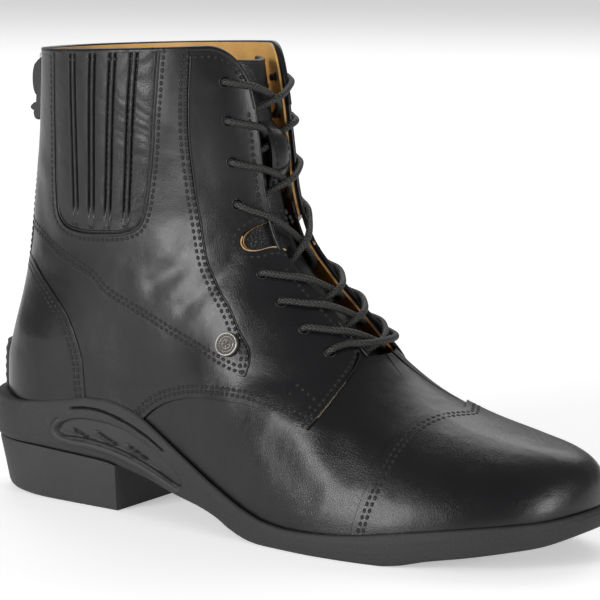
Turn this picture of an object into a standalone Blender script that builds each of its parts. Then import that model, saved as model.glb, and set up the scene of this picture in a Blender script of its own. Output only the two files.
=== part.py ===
"""Lace-up paddock boot with a back zip, right foot, empty and standing on its sole.

+X points to the toe, +Y to the inner side of the foot and +Z up. The origin is on the
floor under the centre of the heel. Sizes are worked in millimetres along the foot from
the back of the heel, and written to the meshes in metres.
"""
import bmesh
import bpy
import numpy as np

MM = 0.001
LENGTH = 274.0
HEIGHT = 190.0
BALL_HALF = 46.0
SHAFT_HALF = 34.5
HEEL_CENTRE = 33.0
WALL = 2.0
OVERLAY = 1.1
FEATHER_DROP = 2.7
FEATHER_INSET = 2.8
EYELET_RADIUS = 1.96
EYELET_ACROSS = 20.7
LACE_RADIUS = 1.4
LACE_CLEAR = 0.6
TONGUE_OFFSET = -6.6
LIP_SHARE = 0.043
BREAST = 68.5
LEAF_DEPTH = 1.1
SLOT_WIDTH = 1.4
BADGE_RADIUS = 4.85
BADGE_PLACE = (121.7, 73.5)
KEEPER_CROSSING = 1
SOLE_BACK = -8.5
SOLE_TOE = 266.0
THROAT_HALF = 12.3
THROAT_START = 0.54
STEPS_BELOW = 9
STEPS_ABOVE = 8
NOSE_POWER = 2.0
HINGE_SHARE = 0.9447
MIDDLE_SPAN = (0.3832, 0.7847)
MIDDLE_SHIFT = 7.5
COLUMNS = 20
SOLE_STEPS = 27
GAP = 0.3

BACK_LINE = (  # height, forward
    (0.2000, -0.0022),
    (0.2526, -0.0040),
    (0.2947, -0.0033),
    (0.3342, 0.0033),
    (0.3684, 0.0095),
    (0.4347, 0.0182),
    (0.5000, 0.0248),
    (0.5684, 0.0303),
    (0.6342, 0.0354),
    (0.7000, 0.0416),
    (0.8000, 0.0504),
    (0.8842, 0.0551),
    (0.9684, 0.0591),
)
SLICES = (  # share up the upper, back height, front forward, front height, shaft half
    (0.0, 0.2037, 0.9573, 0.0968, 0.9275),
    (0.07, 0.2368, 0.9606, 0.1342, 0.942),
    (0.13, 0.2684, 0.9562, 0.1711, 0.9565),
    (0.19, 0.2947, 0.9416, 0.198, 0.9565),
    (0.25, 0.3211, 0.9069, 0.219, 0.9565),
    (0.32, 0.3474, 0.8504, 0.2365, 0.9565),
    (0.39, 0.3789, 0.781, 0.26, 0.942),
    (0.46, 0.4158, 0.7044, 0.3035, 0.9275),
    (0.53, 0.4632, 0.6423, 0.363, 0.913),
    (0.6, 0.5211, 0.5876, 0.4447, 0.8986),
    (0.67, 0.5842, 0.5401, 0.5132, 0.8841),
    (0.74, 0.6526, 0.4982, 0.5868, 0.8841),
    (0.81, 0.7263, 0.4726, 0.6895, 0.913),
    (0.88, 0.8105, 0.4599, 0.7947, 0.9565),
    (0.94, 0.8895, 0.4482, 0.892, 0.9913),
    (1.0, 0.9658, 0.4343, 0.9937, 1.0145),
)
RIM = (  # forward, height
    (-0.031, 0.2179),
    (0.0026, 0.2179),
    (0.0584, 0.2116),
    (0.1131, 0.2189),
    (0.1642, 0.2316),
    (0.2007, 0.2389),
    (0.2263, 0.2389),
    (0.2682, 0.2274),
    (0.292, 0.2137),
    (0.3212, 0.1895),
    (0.3686, 0.1484),
    (0.4361, 0.1011),
    (0.5, 0.0653),
    (0.5474, 0.0495),
    (0.5839, 0.0453),
    (0.6204, 0.0468),
    (0.6916, 0.0558),
    (0.7336, 0.0653),
    (0.8029, 0.08),
    (0.8704, 0.0916),
    (0.9124, 0.0974),
    (0.9438, 0.1021),
    (0.9708, 0.1095),
)
BOTTOM = (  # forward, height
    (-0.031, 0.1221),
    (0.073, 0.12),
    (0.1642, 0.1137),
    (0.2336, 0.1068),
    (0.2628, 0.0968),
    (0.3084, 0.0821),
    (0.3613, 0.0589),
    (0.4161, 0.0442),
    (0.4453, 0.0326),
    (0.4745, 0.0153),
    (0.5109, 0.0026),
    (0.5365, 0.0),
    (0.7299, 0.0),
    (0.7591, 0.0047),
    (0.7993, 0.0179),
    (0.854, 0.0305),
    (0.8978, 0.0411),
    (0.9365, 0.0505),
    (0.9708, 0.0684),
)
OUTLINE = (  # forward, outer half, inner half
    (-0.031, 0.7174, 0.7174),
    (0.073, 0.7391, 0.7391),
    (0.1642, 0.75, 0.7283),
    (0.2555, 0.75, 0.6848),
    (0.3467, 0.7826, 0.6522),
    (0.438, 0.9, 0.7174),
    (0.5474, 1.06, 0.8696),
    (0.6387, 1.115, 0.9565),
    (0.7299, 1.1, 1.0),
    (0.8212, 1.09, 1.0217),
    (0.9708, 1.09, 1.0435),
)

QUARTER_EDGE = (  # forward, height
    (0.3004, 0.0526), (0.3004, 0.2121), (0.3365, 0.2474), (0.3562, 0.2600),
    (0.3869, 0.2716), (0.4179, 0.2774), (0.4923, 0.2774), (0.5453, 0.2642),
    (0.5974, 0.2442), (0.6047, 0.2663), (0.6106, 0.2900), (0.6172, 0.3300),
    (0.6205, 0.3600), (0.6340, 0.4150), (0.6569, 0.4737), (0.6569, 1.2105),
    (-0.1460, 1.2105), (-0.1460, 0.0526),
)
PANEL_EDGE = (  # forward, height
    (0.3642, 1.2105), (0.3642, 0.9716), (0.3646, 0.8105), (0.3759, 0.6737),
    (0.3949, 0.5563), (0.4131, 0.5074), (0.4412, 0.4579), (0.4628, 0.4105),
    (0.4785, 0.3816), (0.4850, 0.3516), (0.4818, 0.3295), (0.4672, 0.3316),
    (0.4113, 0.3584), (0.3533, 0.3895), (0.2974, 0.4211), (0.2212, 0.4674),
    (0.2011, 0.4916), (0.1642, 0.5132), (0.1277, 0.5326), (0.0690, 0.5716),
    (-0.0365, 0.6263), (-0.1460, 0.6263), (-0.1460, 1.2105),
)
COUNTER_EDGE = (  # forward, height
    (-0.1460, 0.5184), (0.0292, 0.5184), (0.0646, 0.5079), (0.1033, 0.4726),
    (0.1204, 0.4537), (0.1566, 0.4053), (0.1825, 0.3347), (0.1920, 0.2416),
    (0.1920, 0.0526), (-0.1460, 0.0526),
)
CAP_EDGE = (  # forward, height
    (0.6861, -0.0263), (0.6894, 0.0553), (0.6971, 0.1058), (0.7036, 0.1416),
    (0.7113, 0.2111), (0.7168, 0.2579), (0.7230, 0.2863), (0.7372, 0.3053),
    (0.7591, 0.3211), (0.7591, 0.4737), (1.0949, 0.4737), (1.0949, -0.0263),
)
GORE_EDGE = (  # forward, height
    (0.1332, 1.2105), (0.1328, 0.9684), (0.1285, 0.8232), (0.1248, 0.6505),
    (0.1292, 0.6189), (0.1442, 0.5968), (0.1763, 0.5863), (0.2219, 0.5884),
    (0.2620, 0.5958), (0.2843, 0.6095), (0.2956, 0.6368), (0.3084, 0.7368),
    (0.3146, 0.8211), (0.3230, 0.9821), (0.3241, 1.2105),
)
NOTCH_EDGE = (  # forward, height
    (0.5474, 0.6632), (0.4690, 0.6395), (0.4620, 0.6321), (0.4529, 0.6258),
    (0.4438, 0.6168), (0.4380, 0.6063), (0.4358, 0.5932), (0.4383, 0.5811),
    (0.4449, 0.5747), (0.4577, 0.5768), (0.4763, 0.5821), (0.4839, 0.5789),
    (0.5474, 0.5421),
)
EYELETS = (  # forward, height
    (0.4058, 0.9200), (0.4117, 0.8405), (0.4186, 0.7558), (0.4274, 0.6689),
    (0.4708, 0.5295), (0.5040, 0.4747), (0.5423, 0.4242), (0.5828, 0.3800),
)
PLEATS = (  # forward at top, height, forward at bottom, height
    (0.1774, 1.0263, 0.1697, 0.6332),
    (0.2164, 1.0263, 0.2007, 0.6395),
    (0.2518, 1.0263, 0.2310, 0.6405),
    (0.2858, 1.0263, 0.2642, 0.6358),
)
LEAF_EDGE = (  # forward, height
    (0.1445, 0.1589), (0.1515, 0.1747), (0.1642, 0.1853), (0.1898, 0.1926),
    (0.2318, 0.1916), (0.2734, 0.1789), (0.3044, 0.1600), (0.3350, 0.1405),
    (0.3613, 0.1105), (0.3774, 0.0874), (0.3745, 0.0800), (0.3595, 0.0842),
    (0.3358, 0.0968), (0.2993, 0.1174), (0.2555, 0.1358), (0.2117, 0.1474),
    (0.1825, 0.1484), (0.1588, 0.1474),
)
SLITS = (  # forward and height of the two ends
    (0.1726, 0.1642, 0.1982, 0.1505),
    (0.2150, 0.1653, 0.2526, 0.1437),
    (0.2715, 0.1474, 0.3099, 0.1263),
)
SLOT_LINE = (  # forward, height
    (0.1697, 0.2126), (0.1971, 0.2168), (0.2263, 0.2147), (0.2555, 0.2047),
    (0.2847, 0.1905), (0.3139, 0.1716), (0.3394, 0.1516),
)

CORE_RINGS = (  # share of the side, inset
    (-0.2, 0.5),
    (0.12, 0.5),
    (0.4, 0.1),
    (0.7, 0.0),
    (0.92, 0.5),
    (1.2, 0.8),
)
KEEPER_ROWS = (  # share up the upper, offset
    (0.829, -5.0),
    (0.839, -3.6),
    (0.849, -1.2),
    (0.87, -0.6),
    (0.895, -1.2),
    (0.904, -3.6),
    (0.913, -5.0),
)
PULL_SIDE = (  # forward of the back line, over the hinge
    (-7.09, 1.01),
    (-9.09, 1.71),
    (-9.99, -0.09),
    (-10.29, -1.89),
    (-12.29, -3.89),
    (-12.89, -8.49),
    (-12.69, -14.49),
    (-12.29, -16.89),
    (-14.29, -20.69),
    (-14.29, -22.09),
    (-12.29, -22.89),
    (-11.69, -25.69),
    (-9.69, -26.59),
    (-7.69, -25.69),
    (-7.09, -22.99),
)
SLIDER_SIDE = (  # forward of the back line, over the hinge
    (-3.59, -10.99),
    (-3.59, 3.91),
    (-8.99, 3.91),
    (-9.39, 3.11),
    (-8.69, 2.41),
    (-5.99, 2.41),
    (-5.99, -10.99),
)
STRIP_ROWS = (0.28, 0.33, 0.4, 0.5, 0.6, 0.7, 0.8, 0.9, 0.985)
ZIP_ROWS = (0.31, 0.36, 0.43, 0.5, 0.6, 0.7, 0.8, 0.9, 0.955)
PATCH_ROWS = (0.055, 0.1, 0.15, 0.2, 0.24)
HEEL_RINGS = (  # share of the height, back, inset
    (0.0, -2.6, 5.0),
    (0.07, -3.5, 4.2),
    (0.5, -5.0, 2.8),
    (1.0, -7.0, 0.8),
)
BAR_POINTS = (  # distance across, rise
    (17.5, 0.0),
    (10.0, 1.6),
    (0.0, 2.2),
    (-10.0, 1.6),
    (-17.5, 0.0),
)


def smooth(table, column, at):
    """Value of one column of a table, on a curve through its rows that never overshoots."""
    rows = np.asarray(table, float)
    x = rows[:, 0]
    y = rows[:, column]
    at = np.clip(np.asarray(at, float), x[0], x[-1])
    step = np.diff(x)
    slope = np.diff(y) / step
    grade = np.zeros_like(x)
    same = slope[:-1] * slope[1:] > 0
    first = 2 * step[1:] + step[:-1]
    second = step[1:] + 2 * step[:-1]
    safe = np.where(same, slope[:-1], 1.0)
    after = np.where(same, slope[1:], 1.0)
    grade[1:-1] = np.where(same, (first + second) / (first / safe + second / after), 0.0)
    grade[0] = slope[0]
    grade[-1] = slope[-1]
    i = np.clip(np.searchsorted(x, at, side="right") - 1, 0, len(step) - 1)
    s = (at - x[i]) / step[i]
    low = y[i] * (1 + 2 * s) * (1 - s) ** 2 + y[i + 1] * s ** 2 * (3 - 2 * s)
    return low + step[i] * (grade[i] * s * (1 - s) ** 2 - grade[i + 1] * s ** 2 * (1 - s))


def ease(a, b, value):
    """Smooth rise from 0 at a to 1 at b."""
    s = np.clip((np.asarray(value, float) - a) / (b - a), 0.0, 1.0)
    return s * s * (3 - 2 * s)


def back_x(height):
    """Distance of the back line from the heel's back at a height."""
    return LENGTH * smooth(BACK_LINE, 1, height / HEIGHT)


def at_hinge(outline):
    """Side outline set behind the back line, at the height of the pull's hinge."""
    height = HEIGHT * HINGE_SHARE
    start = back_x(height)
    return tuple((start + forward, height + rise) for forward, rise in outline)


def rim_z(forward):
    """Height of the sole's upper rim."""
    return HEIGHT * smooth(RIM, 1, forward / LENGTH)


def bottom_z(forward):
    """Height of the sole's underside."""
    return HEIGHT * smooth(BOTTOM, 1, forward / LENGTH)


def middle(forward):
    """Sideways place of the foot's middle line, turning to the inner side at the toe."""
    start, end = MIDDLE_SPAN
    return MIDDLE_SHIFT * ease(LENGTH * start, LENGTH * end, forward)


def rounded(distance, length, power):
    """Share of the full width at a distance from a rounded end of a given length."""
    s = np.clip(distance / length, 0.0, 1.0)
    return (1 - (1 - s) ** power) ** (1 / power)


def plan(forward, side, start, end, inset):
    """Half width of the foot seen from above; side -1 is the outer side, +1 the inner."""
    column = 1 if side < 0 else 2
    half = BALL_HALF * smooth(OUTLINE, column, forward / LENGTH) - inset
    heel = rounded(forward - start, 34.0, 2.25)
    nose = 84.0 if side < 0 else 70.0
    toe = rounded(end - forward, nose - inset, 2.2)
    shift = -side * middle(forward)
    return (half + shift) * heel * toe - shift * heel


RIDGE = tuple(sorted((row[2], row[3]) for row in SLICES[1:]))


def ridge_z(forward):
    """Height of the upper's top line over a place along the foot."""
    start = LENGTH * RIDGE[0][0]
    extra = np.clip(start - forward, 0.0, None) * 8.0
    return HEIGHT * smooth(RIDGE, 1, forward / LENGTH) + extra


def slice_point(v, t, side):
    """Point of the upper's base surface on slice v, at share t from back to front."""
    v = np.asarray(v, float)
    t = np.asarray(t, float)
    z_back = HEIGHT * smooth(SLICES, 1, v)
    x_front = LENGTH * smooth(SLICES, 2, v)
    z_front = HEIGHT * smooth(SLICES, 3, v)
    shaft = SHAFT_HALF * smooth(SLICES, 4, v)
    x_back = back_x(z_back)
    x = x_back + (x_front - x_back) * t
    foot_back = HEIGHT * SLICES[0][1]
    foot_front = HEIGHT * SLICES[0][3]
    chord = foot_back + (foot_front - foot_back) * x / (LENGTH * SLICES[0][2])
    drop = rim_z(x) - FEATHER_DROP - chord
    fade = np.clip(1 - v / 0.6, 0.0, 1.0) ** 1.5
    z = z_back + (z_front - z_back) * t + drop * fade
    floor = rim_z(x) - FEATHER_DROP
    u = np.clip((z - floor) / np.maximum(ridge_z(x) - floor, 1e-6), 0.0, 1.0)
    end = np.where(v < 0.07, x_front, LENGTH * SLICES[1][2])
    level = plan(x, side, x_back, end, FEATHER_INSET)
    centre = middle(x)
    foot = side * level - centre
    foot = centre + foot * (1 - u ** NOSE_POWER) ** (1 / NOSE_POWER)
    widest = 0.46
    behind = rounded(t, widest, 2.15)
    ahead = rounded(1 - t, 1 - widest, 2.0)
    tube = centre * ease(0.5, 1.0, t) + side * shaft * behind * ahead
    mix = ease(0.34, 0.72, v)
    return np.stack((x, foot + (tube - foot) * mix, z), axis=-1)


def edge_share(v, side, half):
    """Share t at which a slice comes within half of the middle line near its front."""
    low = np.full(np.shape(v), 0.5)
    high = np.ones(np.shape(v))
    for _ in range(40):
        mid = (low + high) / 2
        p = slice_point(v, mid, side)
        wide = side * (p[..., 1] - middle(p[..., 0])) > half
        low = np.where(wide, mid, low)
        high = np.where(wide, high, mid)
    return (low + high) / 2


def top_share(k):
    """Lowest the collar comes near the front, where each facing's corner is rounded."""
    near = np.clip((k - 0.86) / 0.14, 0.0, 1.0)
    return 1 - 0.075 * (1 - np.sqrt(1 - near ** 2))


def row_shares(below, above):
    """Shares of the rows of the upper; one of them lies at the foot of the throat."""
    low = np.linspace(0.0, THROAT_START, below + 1)
    return np.concatenate((low, np.linspace(THROAT_START, 1.0, above + 1)[1:]))


def ring_grid(columns, v, half=THROAT_HALF, splits=2):
    """Rings of base points: back, outer side, front, inner side, with their normals."""
    ring = []
    for side in (-1, 1):
        edge = np.arccos(1 - 2 * edge_share(v, side, half))
        line = []
        for k in np.linspace(0.0, 1.0, columns + 1):
            top = top_share(k)
            level = v * np.where(v > 0.7, 1 - (1 - top) * ((v - 0.7) / 0.3) ** 2, 1.0)
            turn = np.arccos(1 - 2 * edge_share(level, side, half)) * k
            line.append(slice_point(level, (1 - np.cos(turn)) / 2, side))
        last = v * np.where(v > 0.7, 1 - 0.075 * ((v - 0.7) / 0.3) ** 2, 1.0)
        edge = np.arccos(1 - 2 * edge_share(last, side, half))
        for k in np.linspace(0.0, 1.0, splits + 1)[1:]:
            turn = edge + (np.pi - edge) * k
            line.append(slice_point(last, (1 - np.cos(turn)) / 2, side))
        ring.append(line)
    outer, inner = ring
    points = outer + inner[-2:0:-1]
    grid = np.stack(points, axis=1)
    return grid, grid_normals(grid)


def grid_normals(grid):
    """Unit normals of closed rings stacked in rows, pointing outwards."""
    along = np.roll(grid, -1, axis=1) - np.roll(grid, 1, axis=1)
    up = np.gradient(grid, axis=0)
    normal = np.cross(along, up)
    size = np.linalg.norm(normal, axis=-1, keepdims=True)
    return normal / np.maximum(size, 1e-9)


def material(name, colour, roughness, metallic=0.0):
    """Plain Principled material."""
    made = bpy.data.materials.new(name)
    made.use_nodes = True
    shader = made.node_tree.nodes["Principled BSDF"]
    shader.inputs["Base Color"].default_value = (*colour, 1.0)
    shader.inputs["Roughness"].default_value = roughness
    shader.inputs["Metallic"].default_value = metallic
    return made


def solid(name, points, faces, finish=None):
    """Object from points in millimetres, outward faces made consistent."""
    shift = np.array((HEEL_CENTRE, 0.0, 0.0))
    mesh = bpy.data.meshes.new(name)
    mesh.from_pydata(((np.asarray(points) - shift) * MM).tolist(), [], faces)
    tool = bmesh.new()
    tool.from_mesh(mesh)
    bmesh.ops.remove_doubles(tool, verts=tool.verts, dist=1e-6)
    bmesh.ops.recalc_face_normals(tool, faces=tool.faces)
    if tool.calc_volume(signed=True) < 0:
        bmesh.ops.reverse_faces(tool, faces=tool.faces)
    tool.to_mesh(mesh)
    tool.free()
    made = bpy.data.objects.new(name, mesh)
    bpy.context.scene.collection.objects.link(made)
    if finish:
        mesh.materials.append(finish)
    return made


def combine(base, others, operation, solver="MANIFOLD"):
    """Boolean of one object with others, which are removed afterwards."""
    for other in others:
        step = base.modifiers.new("cut", "BOOLEAN")
        step.operation = operation
        step.solver = solver
        step.object = other
        step.show_viewport = True
        step.show_render = True
        graph = bpy.context.evaluated_depsgraph_get()
        mesh = bpy.data.meshes.new_from_object(base.evaluated_get(graph))
        base.modifiers.remove(step)
        base.data = mesh
        bpy.data.objects.remove(other)
    return base


def prism(name, outline, y_low, y_high):
    """Side-view outline (forward, height) drawn across from y_low to y_high."""
    count = len(outline)
    points = [(x, y_low, z) for x, z in outline] + [(x, y_high, z) for x, z in outline]
    faces = [tuple(range(count)), tuple(range(2 * count - 1, count - 1, -1))]
    for i in range(count):
        j = (i + 1) % count
        faces.append((i, j, count + j, count + i))
    return solid(name, points, faces)


def shell(name, grid, normals, low, high, start_row, finish=None, splits=2):
    """Closed wall between two offsets of the base surface, open at the throat and ends."""
    rows, ring = grid.shape[:2]
    half = ring // 2
    first = half - splits
    last = half + splits
    outer = grid + normals * high
    inner = grid + normals * low
    points = np.concatenate((outer.reshape(-1, 3), inner.reshape(-1, 3)))
    total = rows * ring

    def at(row, column, layer):
        return layer * total + row * ring + column % ring

    def opened(row, column):
        return row >= start_row and first <= column < last

    faces = []
    for r in range(rows - 1):
        for c in range(ring):
            if opened(r, c):
                continue
            faces.append((at(r, c, 0), at(r, c + 1, 0), at(r + 1, c + 1, 0), at(r + 1, c, 0)))
            faces.append((at(r, c, 1), at(r + 1, c, 1), at(r + 1, c + 1, 1), at(r, c + 1, 1)))
    for c in range(ring):
        faces.append((at(0, c, 0), at(0, c, 1), at(0, c + 1, 1), at(0, c + 1, 0)))
        if not opened(rows - 2, c):
            r = rows - 1
            faces.append((at(r, c, 0), at(r, c + 1, 0), at(r, c + 1, 1), at(r, c, 1)))
        if opened(start_row, c):
            r = start_row
            faces.append((at(r, c, 0), at(r, c + 1, 0), at(r, c + 1, 1), at(r, c, 1)))
    for r in range(start_row, rows - 1):
        faces.append((at(r, first, 0), at(r + 1, first, 0), at(r + 1, first, 1), at(r, first, 1)))
        faces.append((at(r, last, 0), at(r, last, 1), at(r + 1, last, 1), at(r + 1, last, 0)))
    return solid(name, points, faces, finish)


def sole_outline(steps, start=SOLE_BACK, end=SOLE_TOE, inset=0.0, narrow=0.0):
    """Closed outline of the sole from above, moved inwards by inset."""
    turn = np.linspace(0.0, np.pi, steps + 1)
    x = start + (end - start) * (1 - np.cos(turn)) / 2
    outer = np.stack((x, -plan(x, -1, start, end, narrow)), axis=-1)
    inner = np.stack((x, plan(x, 1, start, end, narrow)), axis=-1)
    ring = np.concatenate((outer, inner[-2:0:-1]))
    along = np.roll(ring, -1, axis=0) - np.roll(ring, 1, axis=0)
    away = np.stack((along[:, 1], -along[:, 0]), axis=-1)
    away /= np.linalg.norm(away, axis=-1, keepdims=True)
    return ring - away * inset


def stack(name, levels, finish):
    """Closed body from rings of points, with ladder caps across its two ends."""
    ring = len(levels[0])
    half = ring // 2
    points = np.concatenate(levels)
    faces = []
    for level in range(len(levels) - 1):
        a = level * ring
        b = a + ring
        for i in range(ring):
            j = (i + 1) % ring
            faces.append((a + i, a + j, b + j, b + i))
    top = (len(levels) - 1) * ring
    for i in range(half):
        j = (ring - i) % ring
        k = ring - i - 1
        low = [i, j, k, i + 1]
        high = [top + i, top + i + 1, top + k, top + j]
        for cell in (low, high):
            kept = list(dict.fromkeys(cell))
            if len(kept) > 2:
                faces.append(tuple(kept))
    return solid(name, points, faces, finish)


def level(inset, height, steps=SOLE_STEPS):
    """One ring of the sole: an inset and a height that follows the place along it."""
    flat = sole_outline(steps, inset=inset)
    base = sole_outline(steps)
    return np.column_stack((flat, height(base[:, 0])))


def lip(clear, height, steps=SOLE_STEPS):
    """Ring just outside the upper's lower edge, with a clearance round it."""
    start = back_x(HEIGHT * SLICES[0][1]) - clear
    end = LENGTH * SLICES[0][2] + clear + 0.3
    flat = sole_outline(steps, start, end, 0.0, FEATHER_INSET - clear)
    return np.column_stack((flat, height(flat[:, 0])))


def between(share):
    """Height at a share of the sole's side, from underside to rim."""
    return lambda x: bottom_z(x) + (rim_z(x) - bottom_z(x)) * share


def side_cut(name, table, depth):
    """Cutter that bites to a depth into both side walls of the sole within an outline."""
    cut = prism(name, outline_of(table), -90.0, 90.0)
    core = [level(depth + inset, between(share)) for share, inset in CORE_RINGS]
    return combine(cut, [stack("core", core, None)], "DIFFERENCE")


def build_outsole(finish):
    """Sole with a lip round its rim, side panels, arch, toe spring and a flat tread."""
    levels = [
        level(1.4, between(0.0)),
        level(0.5, between(0.12)),
        level(0.1, between(0.4)),
        level(0.0, between(0.7)),
        level(0.5, between(0.92)),
        level(1.4, between(1.0)),
        lip(1.2, lambda x: rim_z(x) - 0.2),
        lip(0.9, lambda x: rim_z(x) - FEATHER_DROP - 0.8),
    ]
    sole = stack("outsole", levels, finish)
    low = [(x, z - SLOT_WIDTH / HEIGHT) for x, z in SLOT_LINE[::-1]]
    cuts = [side_cut("leaf", LEAF_EDGE, LEAF_DEPTH), side_cut("slot", list(SLOT_LINE) + low, 2.2)]
    return combine(sole, cuts, "DIFFERENCE")


def front_point(v, across, offset):
    """Point at a signed distance across from the middle line on the front of slice v."""
    side = -1 if across < 0 else 1
    share = float(edge_share(np.array(v), side, max(abs(across), 0.02)))
    return offset_point(v, share, side, offset)


def offset_point(v, t, side, offset):
    """Point off the base surface, with the outward normal there."""
    d = 0.004
    low = max(v - d, 0.0)
    high = min(v + d, 1.0)
    up = slice_point(high, t, side) - slice_point(low, t, side)
    along = slice_point(v, min(t + d, 1.0), side) - slice_point(v, t - d, side)
    if t > 0.995:
        mirror = slice_point(v, t, -side)
        along = slice_point(v, t, side) - mirror
        along = along * side * -1.0 if side < 0 else along * -1.0
        along = np.array((0.0, side * -1.0, 0.0)) * np.linalg.norm(along)
    normal = np.cross(along, up) * -side
    normal = normal / np.linalg.norm(normal)
    return slice_point(v, t, side) + normal * offset, normal


def find(forward, height, side):
    """Slice and share of the base surface at a place seen from the side."""
    low = 0.0
    high = 1.0
    t = 0.5
    for _ in range(40):
        v = (low + high) / 2
        start = float(back_x(HEIGHT * smooth(SLICES, 1, v)))
        end = LENGTH * float(smooth(SLICES, 2, v))
        t = min(max((forward - start) / (end - start), 0.002), 0.998)
        if slice_point(v, t, side)[2] < height:
            low = v
        else:
            high = v
    return v, t


def tube(name, centres, radius, sides, finish=None):
    """Closed round cord through a list of centres."""
    centres = np.asarray(centres, float)
    tangent = np.gradient(centres, axis=0)
    tangent /= np.linalg.norm(tangent, axis=1, keepdims=True)
    normal = np.cross(tangent[0], (0.3, 0.2, 0.9))
    points = []
    for i, centre in enumerate(centres):
        normal = normal - tangent[i] * np.dot(normal, tangent[i])
        normal = normal / np.linalg.norm(normal)
        other = np.cross(tangent[i], normal)
        for k in range(sides):
            turn = 2 * np.pi * k / sides
            points.append(centre + radius * (np.cos(turn) * normal + np.sin(turn) * other))
    faces = [tuple(range(sides))]
    last = (len(centres) - 1) * sides
    faces.append(tuple(range(last, last + sides)))
    for i in range(len(centres) - 1):
        a = i * sides
        for k in range(sides):
            j = (k + 1) % sides
            faces.append((a + k, a + j, a + sides + j, a + sides + k))
    return solid(name, points, faces, finish)


def outline_of(table):
    """Outline in millimetres from shares of the length and height."""
    return [(x * LENGTH, z * HEIGHT) for x, z in table]


def slab(name, low, high, table, trim=0.0, across=90.0):
    """Part of a wall between two offsets, cut out by an outline seen from the side."""
    foot = LIP_SHARE + trim
    shares = row_shares(STEPS_BELOW, STEPS_ABOVE)
    shares = np.interp(shares, (0.0, THROAT_START, 1.0), (foot, THROAT_START - trim, 1 - trim))
    grid, normals = ring_grid(COLUMNS, shares, THROAT_HALF + 60 * trim)
    piece = shell(name, grid, normals, low, high, STEPS_BELOW)
    return combine(piece, [prism("cut", outline_of(table), -across, across)], "INTERSECT")


def patch(name, rows, halves, low, high, finish=None):
    """Closed curved sheet over the middle line, from slices and distances across."""
    line = []
    for v in rows:
        line.append([front_point(v, a, 0.0) for a in halves])
    return sheet(name, line, low, high, finish)


def back_patch(name, rows, halves, low, high, finish=None):
    """Closed curved sheet over the back line of the upper."""
    line = []
    for v in rows:
        row = []
        for a in halves:
            side = -1 if a < 0 else 1
            lo = 0.0
            hi = 0.3
            for _ in range(30):
                t = (lo + hi) / 2
                wide = abs(slice_point(v, t, side)[1]) > max(abs(a), 0.05)
                lo, hi = (lo, t) if wide else (t, hi)
            p = slice_point(v, t, side)
            up = slice_point(v + 0.004, t, side) - slice_point(v - 0.004, t, side)
            near = slice_point(v, t + 0.002, side) - slice_point(v, max(t - 0.002, 0.0), side)
            if abs(a) < 0.06:
                near = np.array((0.0, float(side), 0.0))
            normal = np.cross(near, up) * -side
            row.append((p, normal / np.linalg.norm(normal)))
        line.append(row)
    return sheet(name, line, low, high, finish)


def sheet(name, line, low, high, finish=None):
    """Closed sheet from rows of points with normals; offsets may be one per row."""
    count = len(line)
    wide = len(line[0])
    lows = np.broadcast_to(low, count)
    highs = np.broadcast_to(high, count)
    points = []
    for offsets in (highs, lows):
        for row, offset in zip(line, offsets):
            points += [p + n * offset for p, n in row]
    total = count * wide
    faces = []
    for r in range(count - 1):
        for c in range(wide - 1):
            a = r * wide + c
            faces.append((a, a + 1, a + wide + 1, a + wide))
            b = total + a
            faces.append((b, b + wide, b + wide + 1, b + 1))
    for c in range(wide - 1):
        top = (count - 1) * wide + c
        faces.append((c, total + c, total + c + 1, c + 1))
        faces.append((top, top + 1, total + top + 1, total + top))
    for r in range(count - 1):
        a = r * wide
        faces.append((a, a + wide, total + a + wide, total + a))
        b = a + wide - 1
        faces.append((b, total + b, total + b + wide, b + wide))
    return solid(name, points, faces, finish)


def rod(name, start, end, radius, sides=12, finish=None):
    """Round rod between two points."""
    return tube(name, [start, end], radius, sides, finish)


def build_upper(finish):
    """Hollow leather shell with its overlays, recesses, notches and punched holes."""
    grid, normals = ring_grid(COLUMNS, row_shares(STEPS_BELOW, STEPS_ABOVE))
    upper = shell("upper", grid, normals, -WALL, 0.0, STEPS_BELOW, finish)
    layers = [
        slab("quarter", -0.8, OVERLAY, QUARTER_EDGE, 0.002),
        slab("cap", -0.7, OVERLAY, CAP_EDGE, 0.003),
        slab("panel", -0.6, OVERLAY + 0.8, PANEL_EDGE, 0.004),
        slab("counter", -0.5, OVERLAY + 0.8, COUNTER_EDGE, 0.005),
    ]
    layers.append(back_patch("strips", STRIP_ROWS, (-9.0, -5.0, 0.0, 5.0, 9.0), -0.4, 2.5))
    combine(upper, layers, "UNION")
    cuts = [slab("recess", 0.4, 6.0, GORE_EDGE)]
    cuts.append(back_patch("groove", ZIP_ROWS, (-3.4, 0.0, 3.4), 1.0, 6.0))
    cuts.append(prism("notch", outline_of(NOTCH_EDGE), -60.0, 60.0))
    for side in (-1, 1):
        for x, z in EYELETS:
            v, t = find(x * LENGTH, z * HEIGHT, side)
            start, _ = offset_point(v, t, side, -5.0)
            end, _ = offset_point(v, t, side, 5.0)
            cuts.append(rod("hole", start, end, EYELET_RADIUS, 9))
    combine(upper, cuts, "DIFFERENCE")
    return upper


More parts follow.
